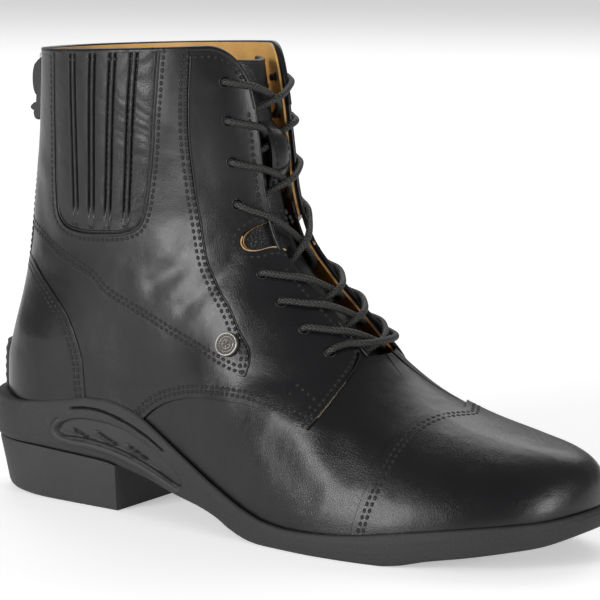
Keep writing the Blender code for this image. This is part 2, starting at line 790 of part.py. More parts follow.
def build_gore(finish):
    """Pleated elastic panels in the recesses, one each side."""
    inset = [(x * LENGTH, z * HEIGHT) for x, z in GORE_EDGE if z < 1.05]
    mid_x = sum(p[0] for p in inset) / len(inset)
    outline = []
    for x, z in inset:
        z = z + GAP if z < 0.63 * HEIGHT else min(z, 0.963 * HEIGHT)
        outline.append((x + GAP if x < mid_x else x - GAP, z))
    for side, name in ((-1, "gore_outer"), (1, "gore_inner")):
        grid, normals = ring_grid(COLUMNS, row_shares(STEPS_BELOW, STEPS_ABOVE))
        panel = shell(name, grid, normals, 0.7, 1.9, STEPS_BELOW, finish)
        span = (0.0, 90.0) if side > 0 else (-90.0, 0.0)
        combine(panel, [prism("cut", outline, *span)], "INTERSECT")
        cuts = []
        for x_top, z_top, x_low, z_low in PLEATS:
            groove = [
                (x_low * LENGTH - 1.1, z_low * HEIGHT),
                (x_low * LENGTH + 1.1, z_low * HEIGHT),
                (x_top * LENGTH + 1.1, z_top * HEIGHT),
                (x_top * LENGTH - 1.1, z_top * HEIGHT),
            ]
            strip = shell("groove", grid, normals, 1.1, 4.0, STEPS_BELOW)
            cuts.append(combine(strip, [prism("cut", groove, *span)], "INTERSECT"))
        combine(panel, cuts, "DIFFERENCE")


def build_heel(finish):
    """Heel block with a straight front face, below the parting line."""
    levels = []
    for share, start, inset in HEEL_RINGS:
        turn = np.linspace(0.0, np.pi / 2, 11)
        x = start + (BREAST - start) * (1 - np.cos(turn))
        trim = inset * (1 - 0.62 * np.clip(x / BREAST, 0.0, 1.0))
        outer = plan(x, -1, start, SOLE_TOE, 0.0) - trim * rounded(x - start, 30.0, 2.0)
        inner = plan(x, 1, start, SOLE_TOE, 0.0) - trim * rounded(x - start, 30.0, 2.0)
        front = np.linspace(-outer[-1], inner[-1], 4)[1:-1]
        x = np.concatenate((x, np.full(len(front), BREAST), x[:0:-1]))
        y = np.concatenate((-outer, front, inner[:0:-1]))
        levels.append(np.column_stack((x, y, (bottom_z(x) - 0.55) * share)))
    ring = len(levels[0])
    points = np.concatenate(levels)
    faces = [tuple(range(ring))]
    for level_index in range(len(levels) - 1):
        a = level_index * ring
        for i in range(ring):
            j = (i + 1) % ring
            faces.append((a + i, a + j, a + ring + j, a + ring + i))
    top = (len(levels) - 1) * ring
    pairs = [(i, (ring - i) % ring) for i in range(11)]
    for (a, b), (c, d) in zip(pairs, pairs[1:]):
        cell = [top + k for k in dict.fromkeys((a, c, d, b))]
        faces.append(tuple(cell))
    faces.append(tuple(top + k for k in range(10, ring - 9)))
    return solid("heel_block", points, faces, finish)


def build_insole(finish):
    """Footbed inside the shell."""
    start = back_x(HEIGHT * SLICES[0][1]) + WALL + 1.6
    end = LENGTH * SLICES[0][2] - WALL - 1.6
    levels = []
    for height in (-FEATHER_DROP - 0.4, FEATHER_DROP * 0.0 - 0.6):
        flat = sole_outline(SOLE_STEPS, start, end, 0.0, FEATHER_INSET + WALL + 1.6)
        levels.append(np.column_stack((flat, rim_z(flat[:, 0]) + height)))
    return stack("insole", levels, finish)


def build_tongue(finish):
    """Tongue behind the laces, tucked under the vamp at its foot."""
    rows = (0.44, 0.47, 0.5, 0.54, 0.6, 0.65, 0.7, 0.76, 0.82, 0.88, 0.94, 0.985)
    halves = (-22.0, -17.0, -12.0, -7.0, -2.5, 2.5, 7.0, 12.0, 17.0, 22.0)
    high = np.interp(rows, (0.45, 0.53), (-WALL - 0.6, TONGUE_OFFSET))
    return patch("tongue", rows, halves, high - 2.2, high, finish)


def lace_path(side):
    """Centres of one strand, from the top hole on one side down to the lowest hole."""
    over = OVERLAY + LACE_RADIUS + LACE_CLEAR
    under = -WALL - LACE_RADIUS - LACE_CLEAR
    path = []
    for i, (x, z) in enumerate(EYELETS):
        v, t = find(x * LENGTH, z * HEIGHT, side)
        path.append(offset_point(v, t, side, under)[0])
        path.append(offset_point(v, t, side, over)[0])
        if i == len(EYELETS) - 1:
            break
        x, z = EYELETS[i + 1]
        drop = find(x * LENGTH, z * HEIGHT, -side)[0] - v
        path.append(front_point(v + drop * 0.09, side * 14.5, over)[0])
        if i == KEEPER_CROSSING:
            path.append(front_point(v + drop * 0.14, side * 11.6, over - 0.4)[0])
            path.append(front_point(v + drop * 0.2, side * 9.4, -0.6)[0])
            path.append(front_point(v + drop * 0.3, side * 7.6, -4.1)[0])
            path.append(front_point(v + drop * 0.45, 0.0, -4.1)[0])
        else:
            path.append(front_point(v + drop * 0.14, side * 11.4, over - 0.2)[0])
            path.append(front_point(v + drop * 0.22, side * 8.2, over * 0.55)[0])
            lift = 1.2 if side > 0 else -1.2
            path.append(front_point(v + drop * 0.42, 0.0, -0.9 + lift)[0])
        path.append(front_point(v + drop * 0.66, side * -9.2, under)[0])
        path.append(front_point(v + drop * 0.8, side * -13.5, under - 0.3)[0])
        path.append(front_point(v + drop * 0.92, side * -17.0, under - 0.4)[0])
        side = -side
    return path, side


def build_lace(finish):
    """Both strands of the lace and the bar across the lowest holes, joined."""
    first, end = lace_path(-1)
    second, _ = lace_path(1)
    v = find(EYELETS[-1][0] * LENGTH, EYELETS[-1][1] * HEIGHT, 1)[0] + 0.014
    over = OVERLAY + LACE_RADIUS + LACE_CLEAR
    bar = [front_point(v, end * a, over + b)[0] for a, b in BAR_POINTS]
    whole = first + bar + second[::-1]
    return tube("lace", whole, LACE_RADIUS, 6, finish)


def build_keeper(finish):
    """Leather loop on the tongue that holds a crossing of the lace."""
    rows = [row[0] for row in KEEPER_ROWS]
    high = np.array([row[1] for row in KEEPER_ROWS])
    return patch("tongue_loop", rows, (-7.0, -3.5, 0.0, 3.5, 7.0), high - 1.3, high, finish)


def build_zip(tape, metal, rubber):
    """Closed zip down the back, its slider and the pull that hangs from it."""
    rows = np.array(ZIP_ROWS)
    rows[0] += 0.006
    rows[-1] = 0.94
    back_patch("zip", rows, (-3.0, -1.0, 1.0, 3.0), 1.3, 2.4, tape)
    slider = prism("zip_slider", at_hinge(SLIDER_SIDE), -3.0, 3.0)
    slider.data.materials.append(metal)
    pull = prism("zip_pull", at_hinge(PULL_SIDE), -4.5, 4.5)
    pull.data.materials.append(rubber)


def build_badge(metal):
    """Round stud at the point of the outer side panel."""
    v, t = find(BADGE_PLACE[0], BADGE_PLACE[1], -1)
    start, _ = offset_point(v, t, -1, OVERLAY + 0.8 + 0.45)
    end, _ = offset_point(v, t, -1, OVERLAY + 0.8 + 2.1)
    rod("badge_stud", start, end, BADGE_RADIUS, 18, metal)


def clear_scene():
    """Remove everything from the file."""
    for item in list(bpy.data.objects):
        bpy.data.objects.remove(item)


def main():
    clear_scene()
    rubber = material("rubber", (0.03, 0.03, 0.033), 0.7)
    leather = material("leather", (0.02, 0.02, 0.022), 0.45)
    elastic = material("elastic", (0.03, 0.03, 0.03), 0.6)
    footbed = material("footbed", (0.5, 0.33, 0.16), 0.7)
    cord = material("cord", (0.02, 0.02, 0.02), 0.6)
    metal = material("metal", (0.45, 0.44, 0.42), 0.35, 1.0)
    build_outsole(rubber)
    build_heel(rubber)
    build_insole(footbed)
    build_upper(leather)
    build_gore(elastic)
    build_tongue(leather)
    build_keeper(leather)
    build_lace(cord)
    build_zip(cord, metal, rubber)
    build_badge(metal)
    back_patch("heel_patch", PATCH_ROWS, (-13.0, -7.0, 0.0, 7.0, 13.0), 2.3, 4.5, rubber)


main()
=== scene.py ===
"""Looks of a lace-up paddock boot with a back zip: leather, seams, laces, zip and sole.

Sizes are worked in millimetres from the back of the heel, as in the part's source, and
written to the meshes in metres from the point on the floor under the heel's centre.
"""
from __future__ import annotations

import logging
import math
from dataclasses import dataclass, field
from enum import Enum
from typing import Any, Callable, Sequence

import bmesh
import bpy
import numpy as np
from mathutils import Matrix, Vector
from mathutils.bvhtree import BVHTree
from mathutils.kdtree import KDTree


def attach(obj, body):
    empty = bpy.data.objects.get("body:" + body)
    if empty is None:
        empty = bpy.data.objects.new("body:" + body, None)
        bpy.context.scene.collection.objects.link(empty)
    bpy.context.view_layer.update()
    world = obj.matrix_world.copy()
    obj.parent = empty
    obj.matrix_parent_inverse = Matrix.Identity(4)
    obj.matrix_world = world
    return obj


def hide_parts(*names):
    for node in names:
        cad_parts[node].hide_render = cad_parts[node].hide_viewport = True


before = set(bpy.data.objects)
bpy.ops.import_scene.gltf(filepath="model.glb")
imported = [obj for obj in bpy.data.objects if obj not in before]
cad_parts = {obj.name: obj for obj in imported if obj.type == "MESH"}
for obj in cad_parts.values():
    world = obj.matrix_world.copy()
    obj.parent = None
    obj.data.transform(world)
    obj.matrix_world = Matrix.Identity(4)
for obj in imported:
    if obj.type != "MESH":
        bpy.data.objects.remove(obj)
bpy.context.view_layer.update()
LOG = logging.getLogger("boot")

MM = 0.001
LENGTH = 274.0
HEIGHT = 190.0
BALL_HALF = 46.0
SHAFT_HALF = 34.5
HEEL_CENTRE = 33.0
WALL = 2.0
OVERLAY = 1.1
RAISED = 1.6
FEATHER_DROP = 2.7
FEATHER_INSET = 2.8
THROAT_HALF = 12.3
THROAT_START = 0.54
SOLE_BACK = -8.5
SOLE_TOE = 266.0
BREAST = 68.5
LACE_RADIUS = 1.4
LACE_CLEAR = 0.45

Pair = tuple[float, float]
Triple = tuple[float, float, float]
Rows = tuple[np.ndarray, np.ndarray]
Faces = list[tuple[int, ...]]

BACK_LINE = (  # height, forward
    (0.2000, -0.0022), (0.2526, -0.0040), (0.2947, -0.0033), (0.3342, 0.0033),
    (0.3684, 0.0095), (0.4347, 0.0182), (0.5000, 0.0248), (0.5684, 0.0303),
    (0.6342, 0.0354), (0.7000, 0.0416), (0.8000, 0.0504), (0.8842, 0.0551),
    (0.9684, 0.0591),
)
SLICES = (  # share up the upper, back height, front forward, front height, shaft half
    (0.0, 0.2037, 0.9573, 0.0968, 0.9275),
    (0.07, 0.2368, 0.9606, 0.1342, 0.942),
    (0.13, 0.2684, 0.9562, 0.1711, 0.9565),
    (0.19, 0.2947, 0.9416, 0.198, 0.9565),
    (0.25, 0.3211, 0.9069, 0.219, 0.9565),
    (0.32, 0.3474, 0.8504, 0.2365, 0.9565),
    (0.39, 0.3789, 0.781, 0.26, 0.942),
    (0.46, 0.4158, 0.7044, 0.3035, 0.9275),
    (0.53, 0.4632, 0.6423, 0.363, 0.913),
    (0.6, 0.5211, 0.5876, 0.4447, 0.8986),
    (0.67, 0.5842, 0.5401, 0.5132, 0.8841),
    (0.74, 0.6526, 0.4982, 0.5868, 0.8841),
    (0.81, 0.7263, 0.4726, 0.6895, 0.913),
    (0.88, 0.8105, 0.4599, 0.7947, 0.9565),
    (0.94, 0.8895, 0.4482, 0.892, 0.9913),
    (1.0, 0.9658, 0.4343, 0.9937, 1.0145),
)
RIM = (  # forward, height
    (-0.031, 0.2179), (0.0026, 0.2179), (0.0584, 0.2116), (0.1131, 0.2189),
    (0.1642, 0.2316), (0.2007, 0.2389), (0.2263, 0.2389), (0.2682, 0.2274),
    (0.292, 0.2137), (0.3212, 0.1895), (0.3686, 0.1484), (0.4361, 0.1011),
    (0.5, 0.0653), (0.5474, 0.0495), (0.5839, 0.0453), (0.6204, 0.0468),
    (0.6916, 0.0558), (0.7336, 0.0653), (0.8029, 0.08), (0.8704, 0.0916),
    (0.9124, 0.0974), (0.9438, 0.1021), (0.9708, 0.1095),
)
BOTTOM = (  # forward, height
    (-0.031, 0.1221), (0.073, 0.12), (0.1642, 0.1137), (0.2336, 0.1068),
    (0.2628, 0.0968), (0.3084, 0.0821), (0.3613, 0.0589), (0.4161, 0.0442),
    (0.4453, 0.0326), (0.4745, 0.0153), (0.5109, 0.0026), (0.5365, 0.0),
    (0.7299, 0.0), (0.7591, 0.0047), (0.7993, 0.0179), (0.854, 0.0305),
    (0.8978, 0.0411), (0.9365, 0.0505), (0.9708, 0.0684),
)
OUTLINE = (  # forward, outer half, inner half
    (-0.031, 0.7174, 0.7174), (0.073, 0.7391, 0.7391), (0.1642, 0.75, 0.7283),
    (0.2555, 0.75, 0.6848), (0.3467, 0.7826, 0.6522), (0.438, 0.9, 0.7174),
    (0.5474, 1.06, 0.8696), (0.6387, 1.115, 0.9565), (0.7299, 1.1, 1.0),
    (0.8212, 1.09, 1.0217), (0.9708, 1.09, 1.0435),
)
HEEL_RINGS = (  # share of the height, back, inset
    (0.0, -1.0, 6.8), (0.025, -2.0, 5.6), (0.07, -2.9, 4.7), (0.14, -3.5, 4.1), (0.5, -5.0, 2.8),
    (0.94, -6.8, 1.0), (1.0, -6.6, 1.3),
)

# Lines seen from the side, in millimetres: forward, height.
QUARTER_LINE = (
    (78.0, 36.0), (82.3, 40.5), (87.0, 44.4), (92.2, 47.4), (97.6, 49.4), (106.0, 51.6),
    (114.5, 52.7), (125.0, 53.1), (134.9, 52.7), (142.0, 51.6), (149.4, 50.0),
    (157.0, 48.2), (163.6, 46.4),
)
FACING_LINE = (
    (163.6, 46.4), (165.7, 50.6), (167.3, 55.1), (169.1, 62.7), (169.5, 66.6), (168.7, 70.4),
    (166.2, 74.4), (162.9, 78.5), (158.6, 82.4),
)
PANEL_FRONT = (
    (99.8, 196.0), (99.8, 184.6), (99.9, 154.1), (101.2, 140.0), (103.0, 127.9),
    (108.2, 105.7), (113.2, 96.4), (120.9, 87.0), (126.8, 77.9), (131.1, 72.5),
    (132.6, 67.6), (132.0, 62.6),
)
PANEL_BACK = (
    (132.0, 62.6), (127.0, 63.2), (112.7, 68.1), (96.8, 74.0), (81.5, 80.1), (60.6, 88.8),
    (55.1, 93.4), (45.0, 97.5), (35.0, 101.2), (18.9, 108.6), (5.0, 114.0),
)
COUNTER_LINE = (
    (2.0, 98.5), (9.0, 98.4), (17.7, 96.5), (28.3, 89.8), (33.0, 86.4), (42.9, 77.0),
    (50.0, 63.6), (52.6, 45.9), (52.6, 30.0),
)
CAP_TURN = (  # turn over the foot in degrees, forward
    (0.0, 188.4), (3.0, 188.9), (14.5, 191.0), (23.6, 192.8), (42.8, 195.0), (60.0, 197.6),
    (75.0, 201.8), (90.0, 206.5),
)
GORE_LINE = (
    (36.5, 196.0), (36.4, 184.0), (35.2, 156.4), (34.2, 123.6), (35.4, 117.6),
    (39.5, 113.4), (48.3, 111.4), (60.8, 111.8), (71.8, 113.2), (77.9, 115.8),
    (81.0, 121.0), (84.5, 140.0), (86.2, 156.0), (88.5, 186.6), (88.8, 196.0),
)
NOTCH_LINE = (
    (142.0, 124.6), (133.0, 122.4), (128.5, 121.5), (124.1, 118.9), (121.6, 117.2),
    (119.6, 114.8), (119.5, 112.0), (121.6, 109.6), (125.4, 109.2), (130.5, 110.6),
    (133.6, 109.4), (142.0, 105.6),
)
BOX = ((152.6, 57.6), (154.1, 60.6), (162.3, 56.4), (161.9, 50.6))
EYELETS = (
    (111.2, 174.8), (112.8, 159.7), (114.7, 143.6), (117.1, 127.1),
    (129.0, 100.6), (138.1, 90.2), (148.6, 80.6), (159.7, 72.2),
)
CHANNELS = (  # top forward, bottom forward, bottom height
    (48.6, 46.5, 120.3), (59.3, 55.2, 121.5), (69.0, 63.6, 121.7), (78.3, 72.6, 120.8),
)
CHANNEL_TOP = 184.0
GORE_BACK = (  # height, forward
    (111.0, 34.0), (123.6, 34.2), (156.4, 35.2), (184.0, 36.4), (196.0, 36.7),
)
GORE_FRONT = (  # height, forward
    (111.0, 80.4), (121.0, 81.2), (140.0, 84.5), (156.0, 86.2), (186.6, 88.5), (196.0, 89.0),
)
LACE_BAR = (  # distance across towards the end, rise
    (17.0, -0.1), (12.0, 0.2), (6.0, 0.7), (0.0, 0.9), (-6.0, 0.6), (-12.0, 0.0), (-16.6, -0.2),
)
WALL_INSETS = (  # share of the sole's height, inset
    (0.0, 1.5), (0.03, 0.9), (0.12, 0.45), (0.4, 0.1), (0.7, 0.0), (0.92, 0.45), (0.97, 0.8),
    (1.0, 1.5),
)
LEAF_LINE = (
    (39.6, 30.2), (41.5, 33.2), (45.0, 35.2), (52.0, 36.6), (63.5, 36.4), (74.9, 34.0),
    (83.4, 30.4), (91.8, 26.4), (99.0, 21.4), (103.4, 17.2), (102.6, 15.4), (98.5, 16.2),
    (92.0, 18.6), (82.0, 22.3), (70.0, 25.8), (58.0, 27.8), (49.0, 28.2), (42.5, 28.3),
)
BEAD_LINE = (
    (40.2, 34.2), (37.9, 31.6), (37.7, 29.0), (40.2, 27.0), (45.0, 26.1), (58.0, 25.4),
    (70.0, 23.4), (82.0, 20.0), (92.0, 16.4), (100.5, 13.2),
)
SLIT_LINES = (
    ((47.3, 31.6), (54.3, 28.8)), ((58.9, 31.8), (69.2, 27.5)), ((74.4, 28.2), (84.9, 23.8)),
)
SLOT_LINE = (
    (46.5, 40.2), (54.0, 41.0), (62.0, 40.6), (70.0, 38.7), (78.0, 36.0), (86.0, 32.4),
    (93.0, 28.6),
)
CREASES = (  # line, depth, half width
    (((100.0, 108.0), (94.0, 100.0), (86.0, 94.0)), 0.35, 4.0),
    (((118.0, 104.0), (110.0, 94.0), (101.0, 86.0)), 0.3, 3.5),
    (((120.0, 58.0), (134.0, 62.0), (150.0, 62.0)), 0.3, 4.5),
    (((150.0, 38.0), (158.0, 30.0), (168.0, 24.0)), 0.35, 5.0),
    (((172.0, 52.0), (177.0, 42.0), (184.0, 34.0)), 0.35, 5.0),
    (((30.0, 108.0), (24.0, 118.0), (22.0, 130.0)), 0.3, 4.0),
    (((92.0, 150.0), (93.0, 130.0), (97.0, 115.0)), 0.3, 5.0),
    (((107.0, 168.0), (104.0, 150.0), (106.0, 135.0)), 0.25, 4.0),
)


class Side(Enum):
    """The two sides of the boot, as the sign of the sideways axis."""

    OUTER = -1
    INNER = 1


def smooth(table: Sequence[Sequence[float]], column: int, at: Any) -> np.ndarray:
    """Value of one column of a table, on a curve through its rows that never overshoots.

    Args:
        table: Rows of numbers that rise in the first column.
        column: The column to read.
        at: Places in the first column.

    Returns:
        The values at those places.
    """
    rows = np.asarray(table, float)
    x, y = rows[:, 0], rows[:, column]
    at = np.clip(np.asarray(at, float), x[0], x[-1])
    step = np.diff(x)
    slope = np.diff(y) / step
    grade = np.zeros_like(x)
    same = slope[:-1] * slope[1:] > 0
    first = 2 * step[1:] + step[:-1]
    second = step[1:] + 2 * step[:-1]
    safe = np.where(same, slope[:-1], 1.0)
    after = np.where(same, slope[1:], 1.0)
    grade[1:-1] = np.where(same, (first + second) / (first / safe + second / after), 0.0)
    grade[0], grade[-1] = slope[0], slope[-1]
    i = np.clip(np.searchsorted(x, at, side="right") - 1, 0, len(step) - 1)
    s = (at - x[i]) / step[i]
    low = y[i] * (1 + 2 * s) * (1 - s) ** 2 + y[i + 1] * s ** 2 * (3 - 2 * s)
    return low + step[i] * (grade[i] * s * (1 - s) ** 2 - grade[i + 1] * s ** 2 * (1 - s))


def ease(a: float, b: float, value: Any) -> np.ndarray:
    """Smooth rise from 0 at a to 1 at b.

    Args:
        a: Where the rise starts.
        b: Where it ends.
        value: The places.

    Returns:
        The risen shares.
    """
    s = np.clip((np.asarray(value, float) - a) / (b - a), 0.0, 1.0)
    return s * s * (3 - 2 * s)


def rounded(distance: Any, length: float, power: float) -> np.ndarray:
    """Share of the full width at a distance from a rounded end.

    Args:
        distance: Distances from the end.
        length: Length of the rounding.
        power: Fullness of the rounding.

    Returns:
        Shares from 0 to 1.
    """
    s = np.clip(distance / length, 0.0, 1.0)
    return (1 - (1 - s) ** power) ** (1 / power)


def back_x(height: Any) -> np.ndarray:
    """Forward place of the back line at a height."""
    return LENGTH * smooth(BACK_LINE, 1, height / HEIGHT)


def rim_z(forward: Any) -> np.ndarray:
    """Height of the sole's upper rim."""
    return HEIGHT * smooth(RIM, 1, forward / LENGTH)


def bottom_z(forward: Any) -> np.ndarray:
    """Height of the sole's underside."""
    return HEIGHT * smooth(BOTTOM, 1, forward / LENGTH)


def middle(forward: Any) -> np.ndarray:
    """Sideways place of the foot's middle line."""
    return 7.5 * ease(105.0, 215.0, forward)


def plan(forward: Any, side: int, start: Any, end: Any, inset: float) -> np.ndarray:
    """Half width of the foot seen from above.

    Args:
        forward: Places along the foot.
        side: The sign of the side.
        start: Where the outline starts.
        end: Where it ends.
        inset: How far it is drawn in.

    Returns:
        Half widths.
    """
    column = 1 if side < 0 else 2
    half = BALL_HALF * smooth(OUTLINE, column, forward / LENGTH) - inset
    heel = rounded(forward - start, 34.0, 2.25)
    nose = 84.0 if side < 0 else 70.0
    toe = rounded(end - forward, nose - inset, 2.2)
    shift = -side * middle(forward)
    return (half + shift) * heel * toe - shift * heel


RIDGE = tuple(sorted((row[2], row[3]) for row in SLICES[1:]))


def ridge_z(forward: Any) -> np.ndarray:
    """Height of the upper's top line over a place along the foot."""
    start = LENGTH * RIDGE[0][0]
    extra = np.clip(start - forward, 0.0, None) * 8.0
    return HEIGHT * smooth(RIDGE, 1, forward / LENGTH) + extra


def slice_point(v: Any, t: Any, side: int) -> np.ndarray:
    """Point of the upper's base surface.

    Args:
        v: Share up the upper.
        t: Share from back to front.
        side: The sign of the side.

    Returns:
        Points in millimetres.
    """
    v = np.asarray(v, float)
    t = np.asarray(t, float)
    z_back = HEIGHT * smooth(SLICES, 1, v)
    x_front = LENGTH * smooth(SLICES, 2, v)
    z_front = HEIGHT * smooth(SLICES, 3, v)
    shaft = SHAFT_HALF * smooth(SLICES, 4, v)
    x_back = back_x(z_back)
    x = x_back + (x_front - x_back) * t
    foot_back = HEIGHT * SLICES[0][1]
    foot_front = HEIGHT * SLICES[0][3]
    chord = foot_back + (foot_front - foot_back) * x / (LENGTH * SLICES[0][2])
    drop = rim_z(x) - FEATHER_DROP - chord
    fade = np.clip(1 - v / 0.6, 0.0, 1.0) ** 1.5
    z = z_back + (z_front - z_back) * t + drop * fade
    floor = rim_z(x) - FEATHER_DROP
    u = np.clip((z - floor) / np.maximum(ridge_z(x) - floor, 1e-6), 0.0, 1.0)
    end = np.where(v < 0.07, x_front, LENGTH * SLICES[1][2])
    level = plan(x, side, x_back, end, FEATHER_INSET)
    centre = middle(x)
    foot = side * level - centre
    foot = centre + foot * np.sqrt(1 - u ** 2)
    widest = 0.46
    behind = rounded(t, widest, 2.15)
    ahead = rounded(1 - t, 1 - widest, 2.0)
    tube = centre * ease(0.5, 1.0, t) + side * shaft * behind * ahead
    mix = ease(0.34, 0.72, v)
    return np.stack((x, foot + (tube - foot) * mix, z), axis=-1)


def edge_share(v: Any, side: int, half: Any) -> np.ndarray:
    """Share t at which a slice comes within half of the middle line near its front.

    Args:
        v: Shares up the upper.
        side: The sign of the side.
        half: Distance from the middle line.

    Returns:
        Shares from back to front.
    """
    low = np.full(np.shape(v), 0.5)
    high = np.ones(np.shape(v))
    for _ in range(26):
        mid = (low + high) / 2
        p = slice_point(v, mid, side)
        wide = side * (p[..., 1] - middle(p[..., 0])) > half
        low = np.where(wide, mid, low)
        high = np.where(wide, high, mid)
    return (low + high) / 2


def unit(vector: np.ndarray) -> np.ndarray:
    """The vectors at length one."""
    return vector / np.maximum(np.linalg.norm(vector, axis=-1, keepdims=True), 1e-9)


def metres(points: Any) -> list[list[float]]:
    """Points in millimetres from the heel's back, as points of the frame in metres."""
    return ((np.asarray(points) - (HEEL_CENTRE, 0.0, 0.0)) * MM).tolist()


def placed(name: str, data: Any) -> Any:
    """New object of the scene that shows this data."""
    made = bpy.data.objects.new(name, data)
    bpy.context.scene.collection.objects.link(made)
    return made


def parted(pairs: Any) -> Rows:
    """Points and normals of a line, or of a grid, of places."""
    both = np.array(pairs)
    return both[..., 0, :], both[..., 1, :]


def round_about(normal: np.ndarray, turns: Any) -> np.ndarray:
    """Directions at some turns round a normal.

    Args:
        normal: The normal.
        turns: The turns in radians.

    Returns:
        One direction for each turn.
    """
    first = unit(np.cross(normal, (0.0, 0.0, 1.0)))
    second = np.cross(normal, first)
    return np.cos(turns)[:, None] * first + np.sin(turns)[:, None] * second


def ring_faces(low: int, high: int, ring: int) -> Faces:
    """Faces between two closed rings of points.

    Args:
        low: Number of the lower ring's first point.
        high: Number of the upper ring's first point.
        ring: Points in a ring.

    Returns:
        The faces.
    """
    after = [(i + 1) % ring for i in range(ring)]
    return [(low + i, low + j, high + j, high + i) for i, j in enumerate(after)]


def spline(points: Sequence[Sequence[float]], step: float = 1.0, closed: bool = False) -> np.ndarray:
    """Smooth curve through points, cut into even steps.

    Args:
        points: The points, in two or three dimensions.
        step: Length of a step.
        closed: Whether the last point joins the first.

    Returns:
        Points along the curve.
    """
    p = np.asarray(points, float)
    if closed:
        ring = np.concatenate((p[-1:], p, p[:2]))
    else:
        ring = np.concatenate((2 * p[:1] - p[1:2], p, 2 * p[-1:] - p[-2:-1]))
    out = []
    for a, b, c, d in zip(ring, ring[1:], ring[2:], ring[3:]):
        count = max(int(np.linalg.norm(c - b) / step), 1)
        near, span, far = (math.sqrt(max(float(np.linalg.norm(q)), 1e-6)) for q in (b - a, c - b, d - c))
        first = (b - a) / near - (c - a) / (near + span) + (c - b) / span
        last = (c - b) / span - (d - b) / (span + far) + (d - c) / far
        first, last = first * span, last * span
        for k in range(count):
            s = k / count
            point = (2 * s ** 3 - 3 * s ** 2 + 1) * b + (s ** 3 - 2 * s ** 2 + s) * first
            out.append(point + (3 * s ** 2 - 2 * s ** 3) * c + (s ** 3 - s ** 2) * last)
    if not closed:
        out.append(p[-1])
    return np.array(out)


def distance_to(points: np.ndarray, line: np.ndarray, closed: bool = False) -> np.ndarray:
    """Distance from flat points to a line.

    Args:
        points: Flat points.
        line: Points of the line.
        closed: Whether the line closes.

    Returns:
        Distances, negative inside a closed line.
    """
    starts = line if closed else line[:-1]
    ends = np.roll(line, -1, axis=0) if closed else line[1:]
    best = np.full(len(points), 1e9)
    inside = np.zeros(len(points), bool)
    for a, b in zip(starts, ends):
        along = b - a
        s = np.clip(((points - a) @ along) / max(float(along @ along), 1e-9), 0.0, 1.0)
        best = np.minimum(best, np.linalg.norm(points - a - s[:, None] * along, axis=1))
        if closed and a[1] != b[1]:
            over = (a[1] > points[:, 1]) != (b[1] > points[:, 1])
            cross = a[0] + (points[:, 1] - a[1]) * along[0] / along[1]
            inside ^= over & (points[:, 0] < cross)
    return np.where(inside, -best, best)


class Wire:
    """A value in a material's node sheet, which sums and products can be written with."""

    def __init__(self, sheet: "Sheet", socket: Any) -> None:
        """Keep the sheet and the socket."""
        self.sheet = sheet
        self.socket = socket

    def __add__(self, other: Any) -> "Wire":
        """Sum."""
        return self.sheet.maths("ADD", self, other)

    __radd__ = __add__

    def __sub__(self, other: Any) -> "Wire":
        """Difference."""
        return self.sheet.maths("SUBTRACT", self, other)

    def __rsub__(self, other: Any) -> "Wire":
        """Difference from a number."""
        return self.sheet.maths("SUBTRACT", other, self)

    def __mul__(self, other: Any) -> "Wire":
        """Product."""
        return self.sheet.maths("MULTIPLY", self, other)

    __rmul__ = __mul__

    def __truediv__(self, other: Any) -> "Wire":
        """Quotient."""
        return self.sheet.maths("DIVIDE", self, other)

    def __pow__(self, other: Any) -> "Wire":
        """Power."""
        return self.sheet.maths("POWER", self, other)


